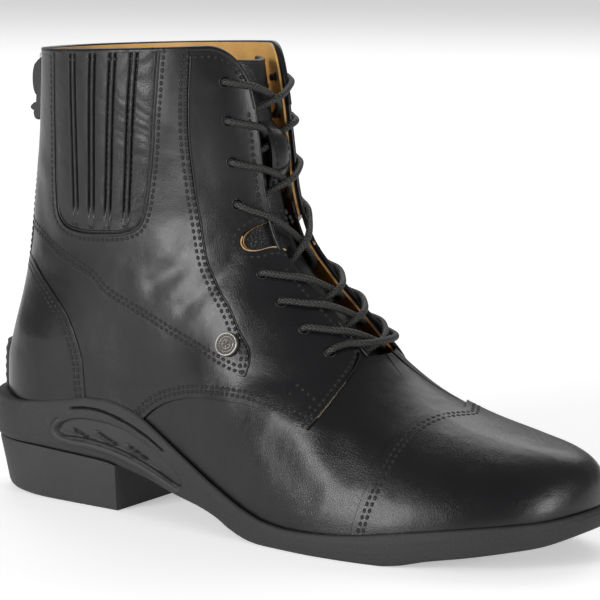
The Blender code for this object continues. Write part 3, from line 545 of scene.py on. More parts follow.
class Sheet:
    """The node sheet of one material."""

    def __init__(self, name: str) -> None:
        """Start a material with an empty shader.

        Args:
            name: The material's name.
        """
        self.material = bpy.data.materials.new(name)
        self.material.use_nodes = True
        self.nodes = self.material.node_tree.nodes
        self.links = self.material.node_tree.links
        self.shader = self.nodes["Principled BSDF"]

    def node(self, kind: str, settings: dict[str, Any], inputs: dict[Any, Any]) -> Any:
        """Add a node.

        Args:
            kind: The node's type.
            settings: Its settings, which are made first.
            inputs: Values or wires of its sockets.

        Returns:
            The node.
        """
        made = self.nodes.new(kind)
        for key, value in settings.items():
            if key == "stops":
                ramp = made.color_ramp
                while len(ramp.elements) < len(value):
                    ramp.elements.new(0.5)
                for element, (place, shade) in zip(ramp.elements, value):
                    element.position = place
                    element.color = (shade, shade, shade, 1.0)
            else:
                setattr(made, key, value)
        for key, value in inputs.items():
            self.plug(made.inputs[key], value)
        return made

    def plug(self, socket: Any, value: Any) -> None:
        """Give a socket a wire or a plain value.

        Args:
            socket: The socket.
            value: The wire, number or colour.
        """
        if isinstance(value, Wire):
            self.links.new(value.socket, socket)
        else:
            socket.default_value = value

    def maths(self, operation: str, *values: Any) -> Wire:
        """Add one step of maths.

        Args:
            operation: Its name.
            values: Numbers or wires.

        Returns:
            The result.
        """
        made = self.node("ShaderNodeMath", {"operation": operation}, dict(enumerate(values)))
        return Wire(self, made.outputs[0])

    def place(self, stretch: Triple = (1.0, 1.0, 1.0)) -> Wire:
        """Place on the object, in metres, stretched.

        Args:
            stretch: Factor along each axis.

        Returns:
            The vector.
        """
        spot = self.node("ShaderNodeTexCoord", {}, {}).outputs["Object"]
        if stretch == (1.0, 1.0, 1.0):
            return Wire(self, spot)
        made = self.node("ShaderNodeMapping", {}, {"Vector": Wire(self, spot), "Scale": stretch})
        return Wire(self, made.outputs[0])

    def noise(self, vector: Wire, scale: float, detail: float = 3.0) -> Wire:
        """Soft noise from 0 to 1.

        Args:
            vector: Where it is read.
            scale: Waves in a metre.
            detail: Finer layers.

        Returns:
            The noise.
        """
        inputs = {"Vector": vector, "Scale": scale, "Detail": detail}
        return Wire(self, self.node("ShaderNodeTexNoise", {}, inputs).outputs[0])

    def cells(self, vector: Wire, scale: float) -> Wire:
        """Distance to the borders of small cells.

        Args:
            vector: Where it is read.
            scale: Cells in a metre.

        Returns:
            The distance.
        """
        settings = {"feature": "DISTANCE_TO_EDGE"}
        made = self.node("ShaderNodeTexVoronoi", settings, {"Vector": vector, "Scale": scale})
        return Wire(self, made.outputs["Distance"])

    def ramp(self, value: Wire, stops: Sequence[Pair]) -> Wire:
        """Send a value through a ramp of greys.

        Args:
            value: The value.
            stops: Places and shades.

        Returns:
            The shade.
        """
        made = self.node("ShaderNodeValToRGB", {"stops": stops}, {"Fac": value})
        return Wire(self, made.outputs["Color"])

    def mix(self, share: Any, first: Any, second: Any) -> Wire:
        """Mix two colours.

        Args:
            share: Share of the second.
            first: A colour or wire.
            second: A colour or wire.

        Returns:
            The colour.
        """
        ends = [(*c, 1.0) if isinstance(c, tuple) else c for c in (first, second)]
        made = self.node("ShaderNodeMix", {"data_type": "RGBA"}, {0: share, 6: ends[0], 7: ends[1]})
        return Wire(self, made.outputs[2])

    def mark(self, name: str) -> Wire:
        """Value of a named attribute of the mesh."""
        return Wire(self, self.node("ShaderNodeAttribute", {"attribute_name": name}, {}).outputs["Fac"])

    def bump(self, height: Wire, distance: float, under: Wire | None = None) -> Wire:
        """Turn a height into a normal.

        Args:
            height: The height.
            distance: Metres for a height of one.
            under: A bump below this one.

        Returns:
            The normal.
        """
        inputs: dict[Any, Any] = {"Height": height, "Distance": distance}
        if under:
            inputs["Normal"] = under
        return Wire(self, self.node("ShaderNodeBump", {}, inputs).outputs[0])

    def finish(self, values: dict[str, Any]) -> Any:
        """Plug the shader.

        Args:
            values: Values or wires by socket name.

        Returns:
            The material.
        """
        for key, value in values.items():
            if isinstance(value, tuple) and len(value) == 3:
                value = (*value, 1.0)
            self.plug(self.shader.inputs[key], value)
        return self.material


@dataclass(frozen=True)
class Leather:
    """Black dressed leather: even tone, close grain and a soft gloss."""

    name: str
    dark: Triple = (0.0032, 0.0032, 0.004)
    pale: Triple = (0.0065, 0.0063, 0.0075)
    gloss: float = 0.3
    grain: float = 0.000035
    pores: float = 1150.0
    wave: float = 0.0005

    def make(self) -> Any:
        """Build the material."""
        s = Sheet(self.name)
        at = s.place()
        broad = s.noise(at, 28.0, 4.0)
        patch = s.noise(at, 9.0, 2.0)
        fine = s.noise(at, 700.0, 4.0)
        pore = s.ramp(s.cells(at, self.pores), ((0.0, 0.0), (0.16, 0.85), (0.4, 1.0)))
        tight = s.ramp(patch, ((0.35, 0.25), (0.7, 1.0)))
        colour = s.mix(s.ramp(broad, ((0.3, 0.0), (0.75, 1.0))), self.dark, self.pale)
        rough = self.gloss + 0.16 * (broad - 0.5) + 0.07 * (fine - 0.5) + 0.03 * (1 - pore)
        deep = s.bump(s.noise(at, 75.0, 2.0), self.wave)
        normal = s.bump(pore * tight + fine * 0.5, self.grain, deep)
        return s.finish({
            "Base Color": colour, "Roughness": rough, "Normal": normal,
            "Coat Weight": 0.1, "Coat Roughness": 0.16, "Specular IOR Level": 0.32,
        })


@dataclass(frozen=True)
class Lining:
    """Tan lining leather with painted shade: it turns a darker burnt orange lower down, deeper inside the
    boot.
    """

    name: str = "lining_tan"
    pale: Triple = (0.66, 0.38, 0.11)
    # Painted shade: the darker burnt orange that the lining takes deep inside the boot.
    painted_shade_tone: Triple = (0.34, 0.13, 0.025)

    def make(self) -> Any:
        """Build the material."""
        s = Sheet(self.name)
        at = s.place()
        mottle = s.noise(at, 120.0, 5.0)
        split = s.node("ShaderNodeSeparateXYZ", {}, {0: at})
        height = Wire(s, split.outputs[2])
        # Painted shade: the lining is darkened towards the bottom, deeper inside the boot.
        low = s.ramp((height - 0.06) / 0.115, ((0.0, 1.0), (1.0, 0.0)))
        tone = s.mix(low, self.pale, self.painted_shade_tone)
        colour = s.mix(s.ramp(mottle, ((0.35, 0.0), (0.8, 0.45))), tone, (0.32, 0.15, 0.04))
        pore = s.cells(at, 800.0)
        normal = s.bump(pore + mottle * 0.6, 0.00012)
        return s.finish({"Base Color": colour, "Roughness": 0.5 + 0.2 * mottle, "Normal": normal})


@dataclass(frozen=True)
class RawEdge:
    """Cut edge of the leather, pale and fibrous."""

    name: str = "raw_edge"

    def make(self) -> Any:
        """Build the material."""
        s = Sheet(self.name)
        fibre = s.noise(s.place((1.0, 1.0, 4.0)), 500.0, 5.0)
        colour = s.mix(fibre, (0.62, 0.45, 0.27), (0.3, 0.19, 0.1))
        return s.finish({"Base Color": colour, "Roughness": 0.85, "Normal": s.bump(fibre, 0.0002)})


@dataclass(frozen=True)
class Rubber:
    """Matte moulded rubber with a fine speckle, smoother where it is marked."""

    name: str
    tone: Triple = (0.006, 0.006, 0.0066)
    speck: Triple = (0.022, 0.022, 0.024)
    depth: float = 0.00022

    def make(self) -> Any:
        """Build the material."""
        s = Sheet(self.name)
        at = s.place()
        calm = s.mark("calm")
        fine = s.noise(at, 1500.0, 3.0)
        speck = s.ramp(fine, ((0.52, 0.0), (0.68, 1.0))) * (1 - calm)
        broad = s.noise(at, 35.0, 3.0)
        base = s.mix(broad, self.tone, (0.013, 0.013, 0.014))
        colour = s.mix(speck * 0.75, base, self.speck)
        rough = 0.62 + 0.12 * broad - 0.1 * calm
        normal = s.bump(fine * (1 - 0.8 * calm) + broad * 0.4, self.depth)
        return s.finish({"Base Color": colour, "Roughness": rough, "Normal": normal})


@dataclass(frozen=True)
class WaxedCord:
    """Round black waxed braid, its strands crossing along the cord."""

    name: str = "waxed_cord"

    def make(self) -> Any:
        """Build the material."""
        s = Sheet(self.name)
        uv = s.node("ShaderNodeUVMap", {"uv_map": "UVMap"}, {}).outputs[0]
        split = s.node("ShaderNodeSeparateXYZ", {}, {0: Wire(s, uv)})
        round_, along = Wire(s, split.outputs[0]), Wire(s, split.outputs[1])
        left = s.maths("SINE", (round_ * 5.0 + along * 0.62) * 6.2832)
        right = s.maths("SINE", (round_ * 5.0 - along * 0.62) * 6.2832)
        braid = s.maths("MAXIMUM", left, right)
        fuzz = s.noise(s.place(), 1400.0, 4.0)
        # Painted shade: the colour is darker in the grooves between the braid's strands and lighter on their
        # crowns.
        relief_shade = s.ramp(braid, ((0.0, 0.0), (1.0, 1.0)))
        colour = s.mix(relief_shade, (0.004, 0.004, 0.0035), (0.019, 0.0185, 0.016))
        rough = 0.56 + 0.25 * (fuzz - 0.5) - 0.06 * braid
        normal = s.bump(braid + 0.5 * fuzz, 0.00017)
        return s.finish({"Base Color": colour, "Roughness": rough, "Normal": normal})


@dataclass(frozen=True)
class Thread:
    """Black sewing thread, or the flat near-black patches of painted shade round the stitches."""

    name: str
    tone: Triple
    gloss: float

    def make(self) -> Any:
        """Build the material."""
        s = Sheet(self.name)
        twist = s.noise(s.place((1.0, 1.0, 0.5)), 2600.0, 2.0)
        dark = tuple(0.5 * c for c in self.tone)
        colour = s.mix(twist, self.tone, dark)
        return s.finish({
            "Base Color": colour, "Roughness": self.gloss + 0.15 * twist,
            "Normal": s.bump(twist, 0.0001),
        })


@dataclass(frozen=True)
class Metal:
    """Antique white metal: worn bright on the high parts, dark in the low ones."""

    name: str
    bright: Triple = (0.42, 0.4, 0.37)
    dark: Triple = (0.05, 0.045, 0.04)
    rough: float = 0.3

    def make(self) -> Any:
        """Build the material."""
        s = Sheet(self.name)
        at = s.place()
        low = s.mark("low")
        grime = s.noise(at, 900.0, 4.0)
        share = s.ramp(low + 0.35 * (grime - 0.5), ((0.25, 0.0), (0.75, 1.0)))
        colour = s.mix(share, self.bright, self.dark)
        rough = self.rough + 0.3 * share + 0.12 * grime
        return s.finish({
            "Base Color": colour, "Roughness": rough, "Metallic": 1.0 - 0.5 * share,
            "Normal": s.bump(grime, 0.00004),
        })


@dataclass(frozen=True)
class Tape:
    """Woven zip tape."""

    name: str = "zip_tape"

    def make(self) -> Any:
        """Build the material."""
        s = Sheet(self.name)
        split = s.node("ShaderNodeSeparateXYZ", {}, {0: s.place()})
        across, up = Wire(s, split.outputs[1]), Wire(s, split.outputs[2])
        weave = s.maths("SINE", across * 9000.0) * s.maths("SINE", up * 9000.0)
        # Painted shade: the colour is darker in the hollows of the weave and lighter on its raised threads.
        relief_shade = s.ramp(weave, ((0.0, 0.0), (1.0, 1.0)))
        colour = s.mix(relief_shade, (0.007, 0.007, 0.008), (0.02, 0.02, 0.021))
        return s.finish({"Base Color": colour, "Roughness": 0.8, "Normal": s.bump(weave, 0.0001)})


@dataclass
class Finishes:
    """Every finish of the boot, made once."""

    leather: Any = field(init=False)
    soft: Any = field(init=False)
    elastic: Any = field(init=False)
    lining: Any = field(init=False)
    raw: Any = field(init=False)
    rubber: Any = field(init=False)
    block: Any = field(init=False)
    cord: Any = field(init=False)
    thread: Any = field(init=False)
    hole_shade: Any = field(init=False)
    badge: Any = field(init=False)
    steel: Any = field(init=False)
    tape: Any = field(init=False)
    teeth: Any = field(init=False)

    def __post_init__(self) -> None:
        """Make the materials."""
        self.leather = Leather("leather_smooth").make()
        self.soft = Leather("leather_soft", gloss=0.34, grain=0.00012, pores=900.0).make()
        self.elastic = Leather("leather_pleated", gloss=0.31, grain=0.0001, wave=0.001).make()
        self.lining = Lining().make()
        self.raw = RawEdge().make()
        self.rubber = Rubber("sole_rubber").make()
        self.block = Rubber("heel_rubber", tone=(0.022, 0.022, 0.024), depth=0.0002).make()
        self.cord = WaxedCord().make()
        self.thread = Thread("sewing_thread", (0.022, 0.022, 0.023), 0.36).make()
        # Painted shade: flat near-black patches under the stitches that stand for the shadow in the needle
        # holes round each stitch.
        self.hole_shade = Thread("painted_hole_shade", (0.0015, 0.0015, 0.0015), 0.8).make()
        self.badge = Metal("antique_metal").make()
        self.steel = Metal("zip_metal", bright=(0.5, 0.5, 0.5), rough=0.35).make()
        self.tape = Tape().make()
        self.teeth = Thread("zip_teeth", (0.02, 0.02, 0.021), 0.35).make()


class Solid:
    """Mesh maker: turns points in millimetres into an object in metres."""

    @staticmethod
    def mesh(name: str, points: Any, faces: Sequence[Sequence[int]], finish: Any = None) -> Any:
        """Make an object.

        Args:
            name: The piece's name.
            points: Points in millimetres from the heel's back.
            faces: Faces as point numbers.
            finish: The material.

        Returns:
            The object.
        """
        data = bpy.data.meshes.new(name)
        data.from_pydata(metres(points), [], faces)
        tool = bmesh.new()
        tool.from_mesh(data)
        bmesh.ops.remove_doubles(tool, verts=tool.verts, dist=1e-6)
        bmesh.ops.recalc_face_normals(tool, faces=tool.faces)
        if tool.calc_volume(signed=True) < 0:
            bmesh.ops.reverse_faces(tool, faces=tool.faces)
        tool.to_mesh(data)
        tool.free()
        if finish:
            data.materials.append(finish)
        return placed(name, data)

    @staticmethod
    def soften(piece: Any, angle: float = 35.0) -> Any:
        """Shade a piece smooth, with sharp edges past an angle.

        Args:
            piece: The object.
            angle: The angle in degrees.

        Returns:
            The object.
        """
        piece.data.shade_smooth()
        piece.data.set_sharp_from_angle(angle=math.radians(angle))
        return piece

    @staticmethod
    def prism(outline: Any, low: float = -90.0, high: float = 90.0) -> Any:
        """Side-view outline drawn across the boot.

        Args:
            outline: Forward and height of its points.
            low: Where it starts sideways.
            high: Where it ends.

        Returns:
            The cutter.
        """
        count = len(outline)
        points = [(x, low, z) for x, z in outline] + [(x, high, z) for x, z in outline]
        faces: Faces = [tuple(range(count)), tuple(range(2 * count - 1, count - 1, -1))]
        for i in range(count):
            j = (i + 1) % count
            faces.append((i, j, count + j, count + i))
        return Solid.mesh("cutter", points, faces)

    @staticmethod
    def combine(base: Any, others: Sequence[Any], operation: str) -> Any:
        """Cut or join one piece with others, which are then removed.

        Args:
            base: The piece.
            others: The cutters.
            operation: The kind of cut.

        Returns:
            The piece.
        """
        for other in others:
            step = base.modifiers.new("cut", "BOOLEAN")
            step.operation = operation
            step.solver = "MANIFOLD"
            step.object = other
            base.data = Solid.applied(base)
            bpy.data.objects.remove(other)
        return base

    @staticmethod
    def applied(piece: Any) -> Any:
        """Mesh of a piece with its modifiers applied; the modifiers are removed.

        Args:
            piece: The object.

        Returns:
            The new mesh.
        """
        graph = bpy.context.evaluated_depsgraph_get()
        mesh = bpy.data.meshes.new_from_object(piece.evaluated_get(graph))
        piece.modifiers.clear()
        return mesh

    @staticmethod
    def sheet(name: str, line: np.ndarray, normals: np.ndarray, low: Any, high: Any, finish: Any) -> Any:
        """Closed sheet from rows of points with normals.

        Args:
            name: The piece's name.
            line: Rows of points.
            normals: Their normals.
            low: Offset of the underside.
            high: Offset of the top.
            finish: The material.

        Returns:
            The object.
        """
        count, wide = line.shape[:2]
        lows = np.broadcast_to(low, (count, wide))[..., None]
        highs = np.broadcast_to(high, (count, wide))[..., None]
        top = line + normals * highs
        under = line + normals * lows
        points = np.concatenate((top.reshape(-1, 3), under.reshape(-1, 3)))
        total = count * wide
        faces = []
        for r in range(count - 1):
            for c in range(wide - 1):
                a = r * wide + c
                b = total + a
                faces.append((a, a + 1, a + wide + 1, a + wide))
                faces.append((b, b + wide, b + wide + 1, b + 1))
        for c in range(wide - 1):
            top_row = (count - 1) * wide + c
            faces.append((c, total + c, total + c + 1, c + 1))
            faces.append((top_row, top_row + 1, total + top_row + 1, total + top_row))
        for r in range(count - 1):
            a = r * wide
            b = a + wide - 1
            faces.append((a, a + wide, total + a + wide, total + a))
            faces.append((b, total + b, total + b + wide, b + wide))
        return Solid.mesh(name, points, faces, finish)

    @staticmethod
    def cord(name: str, path: np.ndarray, radius: Any, sides: int, finish: Any = None) -> Any:
        """Closed round cord through points, with a map round and along it.

        Args:
            name: The piece's name.
            path: Its middle points.
            radius: Its radius, or one for each point.
            sides: Sides round it.
            finish: The material.

        Returns:
            The object.
        """
        path = np.asarray(path, float)
        radii = np.broadcast_to(radius, len(path))
        tangent = unit(np.gradient(path, axis=0))
        normal = np.cross(tangent[0], (0.3, 0.2, 0.9))
        points = []
        for i, centre in enumerate(path):
            normal = normal - tangent[i] * np.dot(normal, tangent[i])
            normal = normal / np.linalg.norm(normal)
            other = np.cross(tangent[i], normal)
            for k in range(sides):
                turn = 2 * np.pi * k / sides
                points.append(centre + radii[i] * (np.cos(turn) * normal + np.sin(turn) * other))
        first = len(points)
        points += [path[0] - tangent[0] * radii[0] * 0.4, path[-1] + tangent[-1] * radii[-1] * 0.4]
        faces: Faces = []
        last = (len(path) - 1) * sides
        for k in range(sides):
            j = (k + 1) % sides
            faces.append((first, j, k))
            faces.append((first + 1, last + k, last + j))
        for i in range(len(path) - 1):
            a = i * sides
            for k in range(sides):
                j = (k + 1) % sides
                faces.append((a + k, a + j, a + sides + j, a + sides + k))
        made = Solid.mesh(name, points, faces, finish)
        run = np.concatenate(((0.0,), np.cumsum(np.linalg.norm(np.diff(path, axis=0), axis=1))))
        layer = made.data.uv_layers.new(name="UVMap")
        for face in made.data.polygons:
            corners = [made.data.loops[i].vertex_index for i in face.loop_indices]
            turns = [q % sides for q in corners]
            wrap = max(turns) > sides * 0.75 and min(turns) < sides * 0.25
            for i, q in zip(face.loop_indices, corners):
                share = (q % sides) / sides
                if wrap and share < 0.5:
                    share += 1.0
                layer.data[i].uv = (share, run[min(q // sides, len(run) - 1)])
        return Solid.soften(made, 60.0)

    @staticmethod
    def join(name: str, parts: Sequence[Any]) -> Any:
        """One object from several with the same finish.

        Args:
            name: The piece's name.
            parts: The objects, which are removed.

        Returns:
            The object.
        """
        tool = bmesh.new()
        for part in parts:
            tool.from_mesh(part.data)
        data = bpy.data.meshes.new(name)
        tool.to_mesh(data)
        tool.free()
        for material in parts[0].data.materials:
            data.materials.append(material)
        for part in parts:
            bpy.data.objects.remove(part)
        return placed(name, data)

    @staticmethod
    def grown(name: str, data: Any, tree: Any, values: dict[str, float]) -> Any:
        """Piece that a node tree makes from a mesh of lines.

        Args:
            name: The piece's name.
            data: The lines.
            tree: The node tree.
            values: Values of its inputs by name.

        Returns:
            The object.
        """
        piece = placed(name, data)
        step = piece.modifiers.new("grow", "NODES")
        step.node_group = tree
        for item in tree.interface.items_tree:
            if item.item_type == "SOCKET" and item.in_out == "INPUT" and item.name in values:
                step[item.identifier] = values[item.name]
        piece.data = Solid.applied(piece)
        return piece

    @staticmethod
    def wear(piece: Any, node: str | Sequence[str], slot: str, body: str = "body") -> Any:
        """Put a piece on the boot in place of its plain solid.

        Args:
            piece: The object.
            node: The solid or solids that it stands for.
            slot: The material slot; not used.
            body: The body that it rides on.

        Returns:
            The object.
        """
        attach(piece, body)
        nodes = (node,) if isinstance(node, str) else tuple(node)
        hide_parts(*nodes)
        LOG.info("%s: %d faces", piece.name, len(piece.data.polygons))
        return piece


@dataclass
class Skin:
    """The upper's leather surface as a fine grid that every other piece is laid on."""

    columns: int = 130
    rows_low: int = 60
    rows_high: int = 54
    splits: int = 8
    cut_from: float = 0.7
    cut_span: float = 0.3
    cut_depth: float = 0.075
    turn_from: float = 0.86
    turn_span: float = 0.14
    grid: np.ndarray = field(init=False)
    normals: np.ndarray = field(init=False)
    tree: Any = field(init=False)

    def __post_init__(self) -> None:
        """Work out the grid, its creases and a search tree."""
        low = np.linspace(0.0, THROAT_START, self.rows_low + 1)
        high = np.linspace(THROAT_START, 1.0, self.rows_high + 1)[1:]
        v = np.concatenate((low, high))
        ring = [self.half_ring(v, side.value) for side in Side]
        grid = self.bridge(np.stack(ring[0] + ring[1][-2:0:-1], axis=1))
        normals = self.normals_of(grid)
        grid = grid + normals * self.relief(grid)[..., None]
        self.grid, self.normals = grid, self.normals_of(grid)
        rows, ring_size = grid.shape[:2]
        faces = []
        for r in range(rows - 1):
            for c in range(ring_size):
                d = (c + 1) % ring_size
                a, b = r * ring_size, (r + 1) * ring_size
                faces.append((a + c, a + d, b + d, b + c))
        self.tree = BVHTree.FromPolygons([Vector(p) for p in grid.reshape(-1, 3)], faces)

    def half_ring(self, v: np.ndarray, side: int) -> list[np.ndarray]:
        """Columns of points from the back to the front of one side.

        Args:
            v: Shares up the upper.
            side: The sign of the side.

        Returns:
            The columns.
        """
        line = []
        rise = (v - self.cut_from) / self.cut_span
        for k in np.linspace(0.0, 1.0, self.columns + 1):
            near = np.clip((k - self.turn_from) / self.turn_span, 0.0, 1.0)
            top = 1 - self.cut_depth * (1 - np.sqrt(1 - near ** 2))
            level = v * np.where(v > self.cut_from, 1 - (1 - top) * rise ** 2, 1.0)
            turn = np.arccos(1 - 2 * edge_share(level, side, THROAT_HALF)) * k
            line.append(slice_point(level, (1 - np.cos(turn)) / 2, side))
        last = v * np.where(v > self.cut_from, 1 - self.cut_depth * rise ** 2, 1.0)
        edge = np.arccos(1 - 2 * edge_share(last, side, THROAT_HALF))
        for k in np.linspace(0.0, 1.0, self.splits + 1)[1:]:
            turn = edge + (np.pi - edge) * k
            line.append(slice_point(last, (1 - np.cos(turn)) / 2, side))
        return line

    def bridge(self, grid: np.ndarray) -> np.ndarray:
        """Round the strip over the foot, where the two sides meet below the throat.

        Args:
            grid: The rings of points.

        Returns:
            The rings with their fronts rounded.
        """
        half = grid.shape[1] // 2
        first, last = half - self.splits, half + self.splits
        rows = slice(0, self.rows_low + 1)
        a, b = grid[rows, first], grid[rows, last]
        span = np.linalg.norm(b - a, axis=1, keepdims=True)
        leave, enter = unit(a - grid[rows, first - 1]), unit(grid[rows, last + 1] - b)
        for column in range(first + 1, last):
            s = (column - first) / (last - first)
            near = (2 * s ** 3 - 3 * s ** 2 + 1) * a + (s ** 3 - 2 * s ** 2 + s) * span * leave
            far = (3 * s ** 2 - 2 * s ** 3) * b + (s ** 3 - s ** 2) * span * enter
            grid[rows, column] = near + far
        return grid

    @staticmethod
    def normals_of(grid: np.ndarray) -> np.ndarray:
        """Outward normals of a grid of closed rings."""
        along = np.roll(grid, -1, axis=1) - np.roll(grid, 1, axis=1)
        return unit(np.cross(along, np.gradient(grid, axis=0)))

    @staticmethod
    def relief(grid: np.ndarray) -> np.ndarray:
        """Depth of the listed creases, over a grid.

        Args:
            grid: The points.

        Returns:
            Heights, negative in a crease.
        """
        flat = grid[..., (0, 2)].reshape(-1, 2)
        out = np.zeros(len(flat))
        for line, depth, half in CREASES:
            far = distance_to(flat, spline(line, 2.0))
            out -= depth * np.exp(-(far / half) ** 2)
            out += 0.5 * depth * np.exp(-((far - 1.9 * half) / half) ** 2)
        return out.reshape(grid.shape[:2])

    def touch(self, point: Any) -> Rows:
        """Nearest point of the surface and its normal.

        Args:
            point: A point in space.

        Returns:
            The place and the outward normal.
        """
        spot, normal, _, _ = self.tree.find_nearest(Vector(point))
        return np.array(spot), self.level(np.array(spot), np.array(normal))

    def level(self, spot: np.ndarray, normal: np.ndarray) -> np.ndarray:
        """Normal turned outwards, away from the middle of the boot."""
        away = np.array((0.0, spot[1] - middle(spot[0]), 0.0))
        if abs(away[1]) < 8.0:
            away = away * 0.05 + np.array((0.6 if spot[2] > 60 or spot[0] > 150 else 0.0, 0.0, 0.6))
            if spot[0] < 40:
                away = np.array((-1.0, 0.0, 0.1))
        return normal if float(normal @ away) >= 0 else -normal

    def seat(self, x: float, z: float, side: int) -> Rows:
        """Point of one side of the boot seen from the side.

        Args:
            x: Forward place.
            z: Height.
            side: The sign of the side.

        Returns:
            The place and the outward normal.
        """
        spot, normal, _, _ = self.tree.ray_cast(Vector((x, side * 120.0, z)), Vector((0.0, -side, 0.0)))
        if spot is None:
            return self.touch((x, side * 8.0, z))
        normal = np.array(normal)
        return np.array(spot), normal if normal[1] * side > 0 else -normal

    def front(self, v: float, across: float, offset: float) -> np.ndarray:
        """Point at a distance across the front of the boot.

        Args:
            v: Share up the upper.
            across: Signed distance from the middle line.
            offset: Distance off the leather.

        Returns:
            The point.
        """
        side = -1 if across < 0 else 1
        t = float(edge_share(np.array(v), side, max(abs(across), 0.02)))
        d = 0.004
        up = slice_point(v + d, t, side) - slice_point(v - d, t, side)
        along = slice_point(v, min(t + d, 1.0), side) - slice_point(v, t - d, side)
        if t > 0.995:
            along = np.array((0.0, side * -1.0, 0.0))
        normal = unit(np.cross(along, up) * -side)
        return slice_point(v, t, side) + normal * offset

    @staticmethod
    def across(rows: Any, halves: Any) -> np.ndarray:
        """Grid of points across the front of the boot.

        Args:
            rows: Shares up the upper.
            halves: Signed distances from the middle line.

        Returns:
            The points.
        """
        v, a = np.meshgrid(rows, halves, indexing="ij")
        out = np.zeros((*v.shape, 3))
        for side in Side:
            pick = (a < 0) == (side.value < 0)
            share = edge_share(v[pick], side.value, np.maximum(np.abs(a[pick]), 0.02))
            out[pick] = slice_point(v[pick], share, side.value)
        return out

    def height_of(self, x: float, z: float, side: int) -> float:
        """Share up the upper at a place seen from the side."""
        low, high = 0.0, 1.0
        for _ in range(30):
            v = (low + high) / 2
            start = float(back_x(HEIGHT * smooth(SLICES, 1, v)))
            end = LENGTH * float(smooth(SLICES, 2, v))
            t = min(max((x - start) / (end - start), 0.002), 0.998)
            low, high = (v, high) if slice_point(v, t, side)[2] < z else (low, v)
        return v

    def lay(self, line: Any, side: int, shift: float = 0.0, toward: Pair = (0.0, 0.0)) -> Rows:
        """Lay a side-view line on the leather, moved sideways along the leather.

        Args:
            line: Forward and height of its points.
            side: The sign of the side.
            shift: How far it moves.
            toward: Place seen from the side that it moves towards.

        Returns:
            Points and normals.
        """
        pairs = [self.seat(x, z, side) for x, z in line]
        points, normals = parted(pairs)
        normals = unit(self.blur(normals))
        if shift:
            away = np.cross(normals, unit(np.gradient(points, axis=0)))
            half = len(points) // 2
            aim = np.array((toward[0], points[half][1], toward[1])) - points[half]
            sign = 1.0 if float(away[half] @ aim) > 0 else -1.0
            return self.press(points + away * shift * sign)
        return points, normals

    def press(self, points: np.ndarray) -> Rows:
        """Nearest points of the leather to a line, with evened normals."""
        points, normals = parted([self.touch(p) for p in points])
        return points, unit(self.blur(normals))

    @staticmethod
    def blur(values: np.ndarray) -> np.ndarray:
        """Values evened out along a line."""
        for _ in range(3):
            inner = (values[:-2] + 2 * values[1:-1] + values[2:]) / 4
            values = np.concatenate((values[:1], inner, values[-1:]))
        return values

    def wall(self, name: str, low: float, high: float, finish: Any, top: int = 0, foot: int = 0) -> Any:
        """Closed wall between two offsets, open at the throat.

        Args:
            name: The piece's name.
            low: Inner offset.
            high: Outer offset.
            finish: The material.
            top: Rows left off at the collar.
            foot: Rows left off at the sole.

        Returns:
            The object.
        """
        rows_all = self.grid.shape[0]
        keep = slice(foot, rows_all - top)
        grid, normals = self.grid[keep], self.normals[keep]
        rows, ring = grid.shape[:2]
        start = self.rows_low - foot
        half = ring // 2
        first, last = half - self.splits, half + self.splits
        points = np.concatenate([(grid + normals * offset).reshape(-1, 3) for offset in (high, low)])
        total = rows * ring

        def at(row: int, column: int, layer: int) -> int:
            """Number of a point."""
            return layer * total + row * ring + column % ring

        def opened(row: int, column: int) -> bool:
            """Whether a cell lies in the throat."""
            return row >= start and first <= column < last

        faces = []
        for r in range(rows - 1):
            for c in range(ring):
                if opened(r, c):
                    continue
                faces.append((at(r, c, 0), at(r, c + 1, 0), at(r + 1, c + 1, 0), at(r + 1, c, 0)))
                faces.append((at(r, c, 1), at(r + 1, c, 1), at(r + 1, c + 1, 1), at(r, c + 1, 1)))
        for c in range(ring):
            faces.append((at(0, c, 0), at(0, c, 1), at(0, c + 1, 1), at(0, c + 1, 0)))
            if not opened(rows - 2, c):
                r = rows - 1
                faces.append((at(r, c, 0), at(r, c + 1, 0), at(r, c + 1, 1), at(r, c, 1)))
            if opened(start, c):
                faces.append((at(start, c, 0), at(start, c + 1, 0), at(start, c + 1, 1), at(start, c, 1)))
        for r in range(start, rows - 1):
            faces.append((at(r, first, 0), at(r + 1, first, 0), at(r + 1, first, 1), at(r, first, 1)))
            faces.append((at(r, last, 0), at(r, last, 1), at(r + 1, last, 1), at(r + 1, last, 0)))
        return Solid.mesh(name, points, faces, finish)

    def rim(self, offset: float) -> np.ndarray:
        """Line along the collar, from one facing round the back to the other.

        Args:
            offset: Distance off the leather.

        Returns:
            The points.
        """
        ring = self.grid.shape[1]
        half = ring // 2
        last, first = half + self.splits, half - self.splits
        order = list(range(last, ring)) + list(range(0, first + 1))
        return self.grid[-1, order] + self.normals[-1, order] * offset

    def facing(self, side: int, offset: float) -> np.ndarray:
        """Line along the edge of one facing, from the foot of the throat to the collar.

        Args:
            side: The sign of the side.
            offset: Distance off the leather.

        Returns:
            The points.
        """
        half = self.grid.shape[1] // 2
        column = half - self.splits if side < 0 else half + self.splits
        rows = slice(self.rows_low, None)
        return self.grid[rows, column] + self.normals[rows, column] * offset


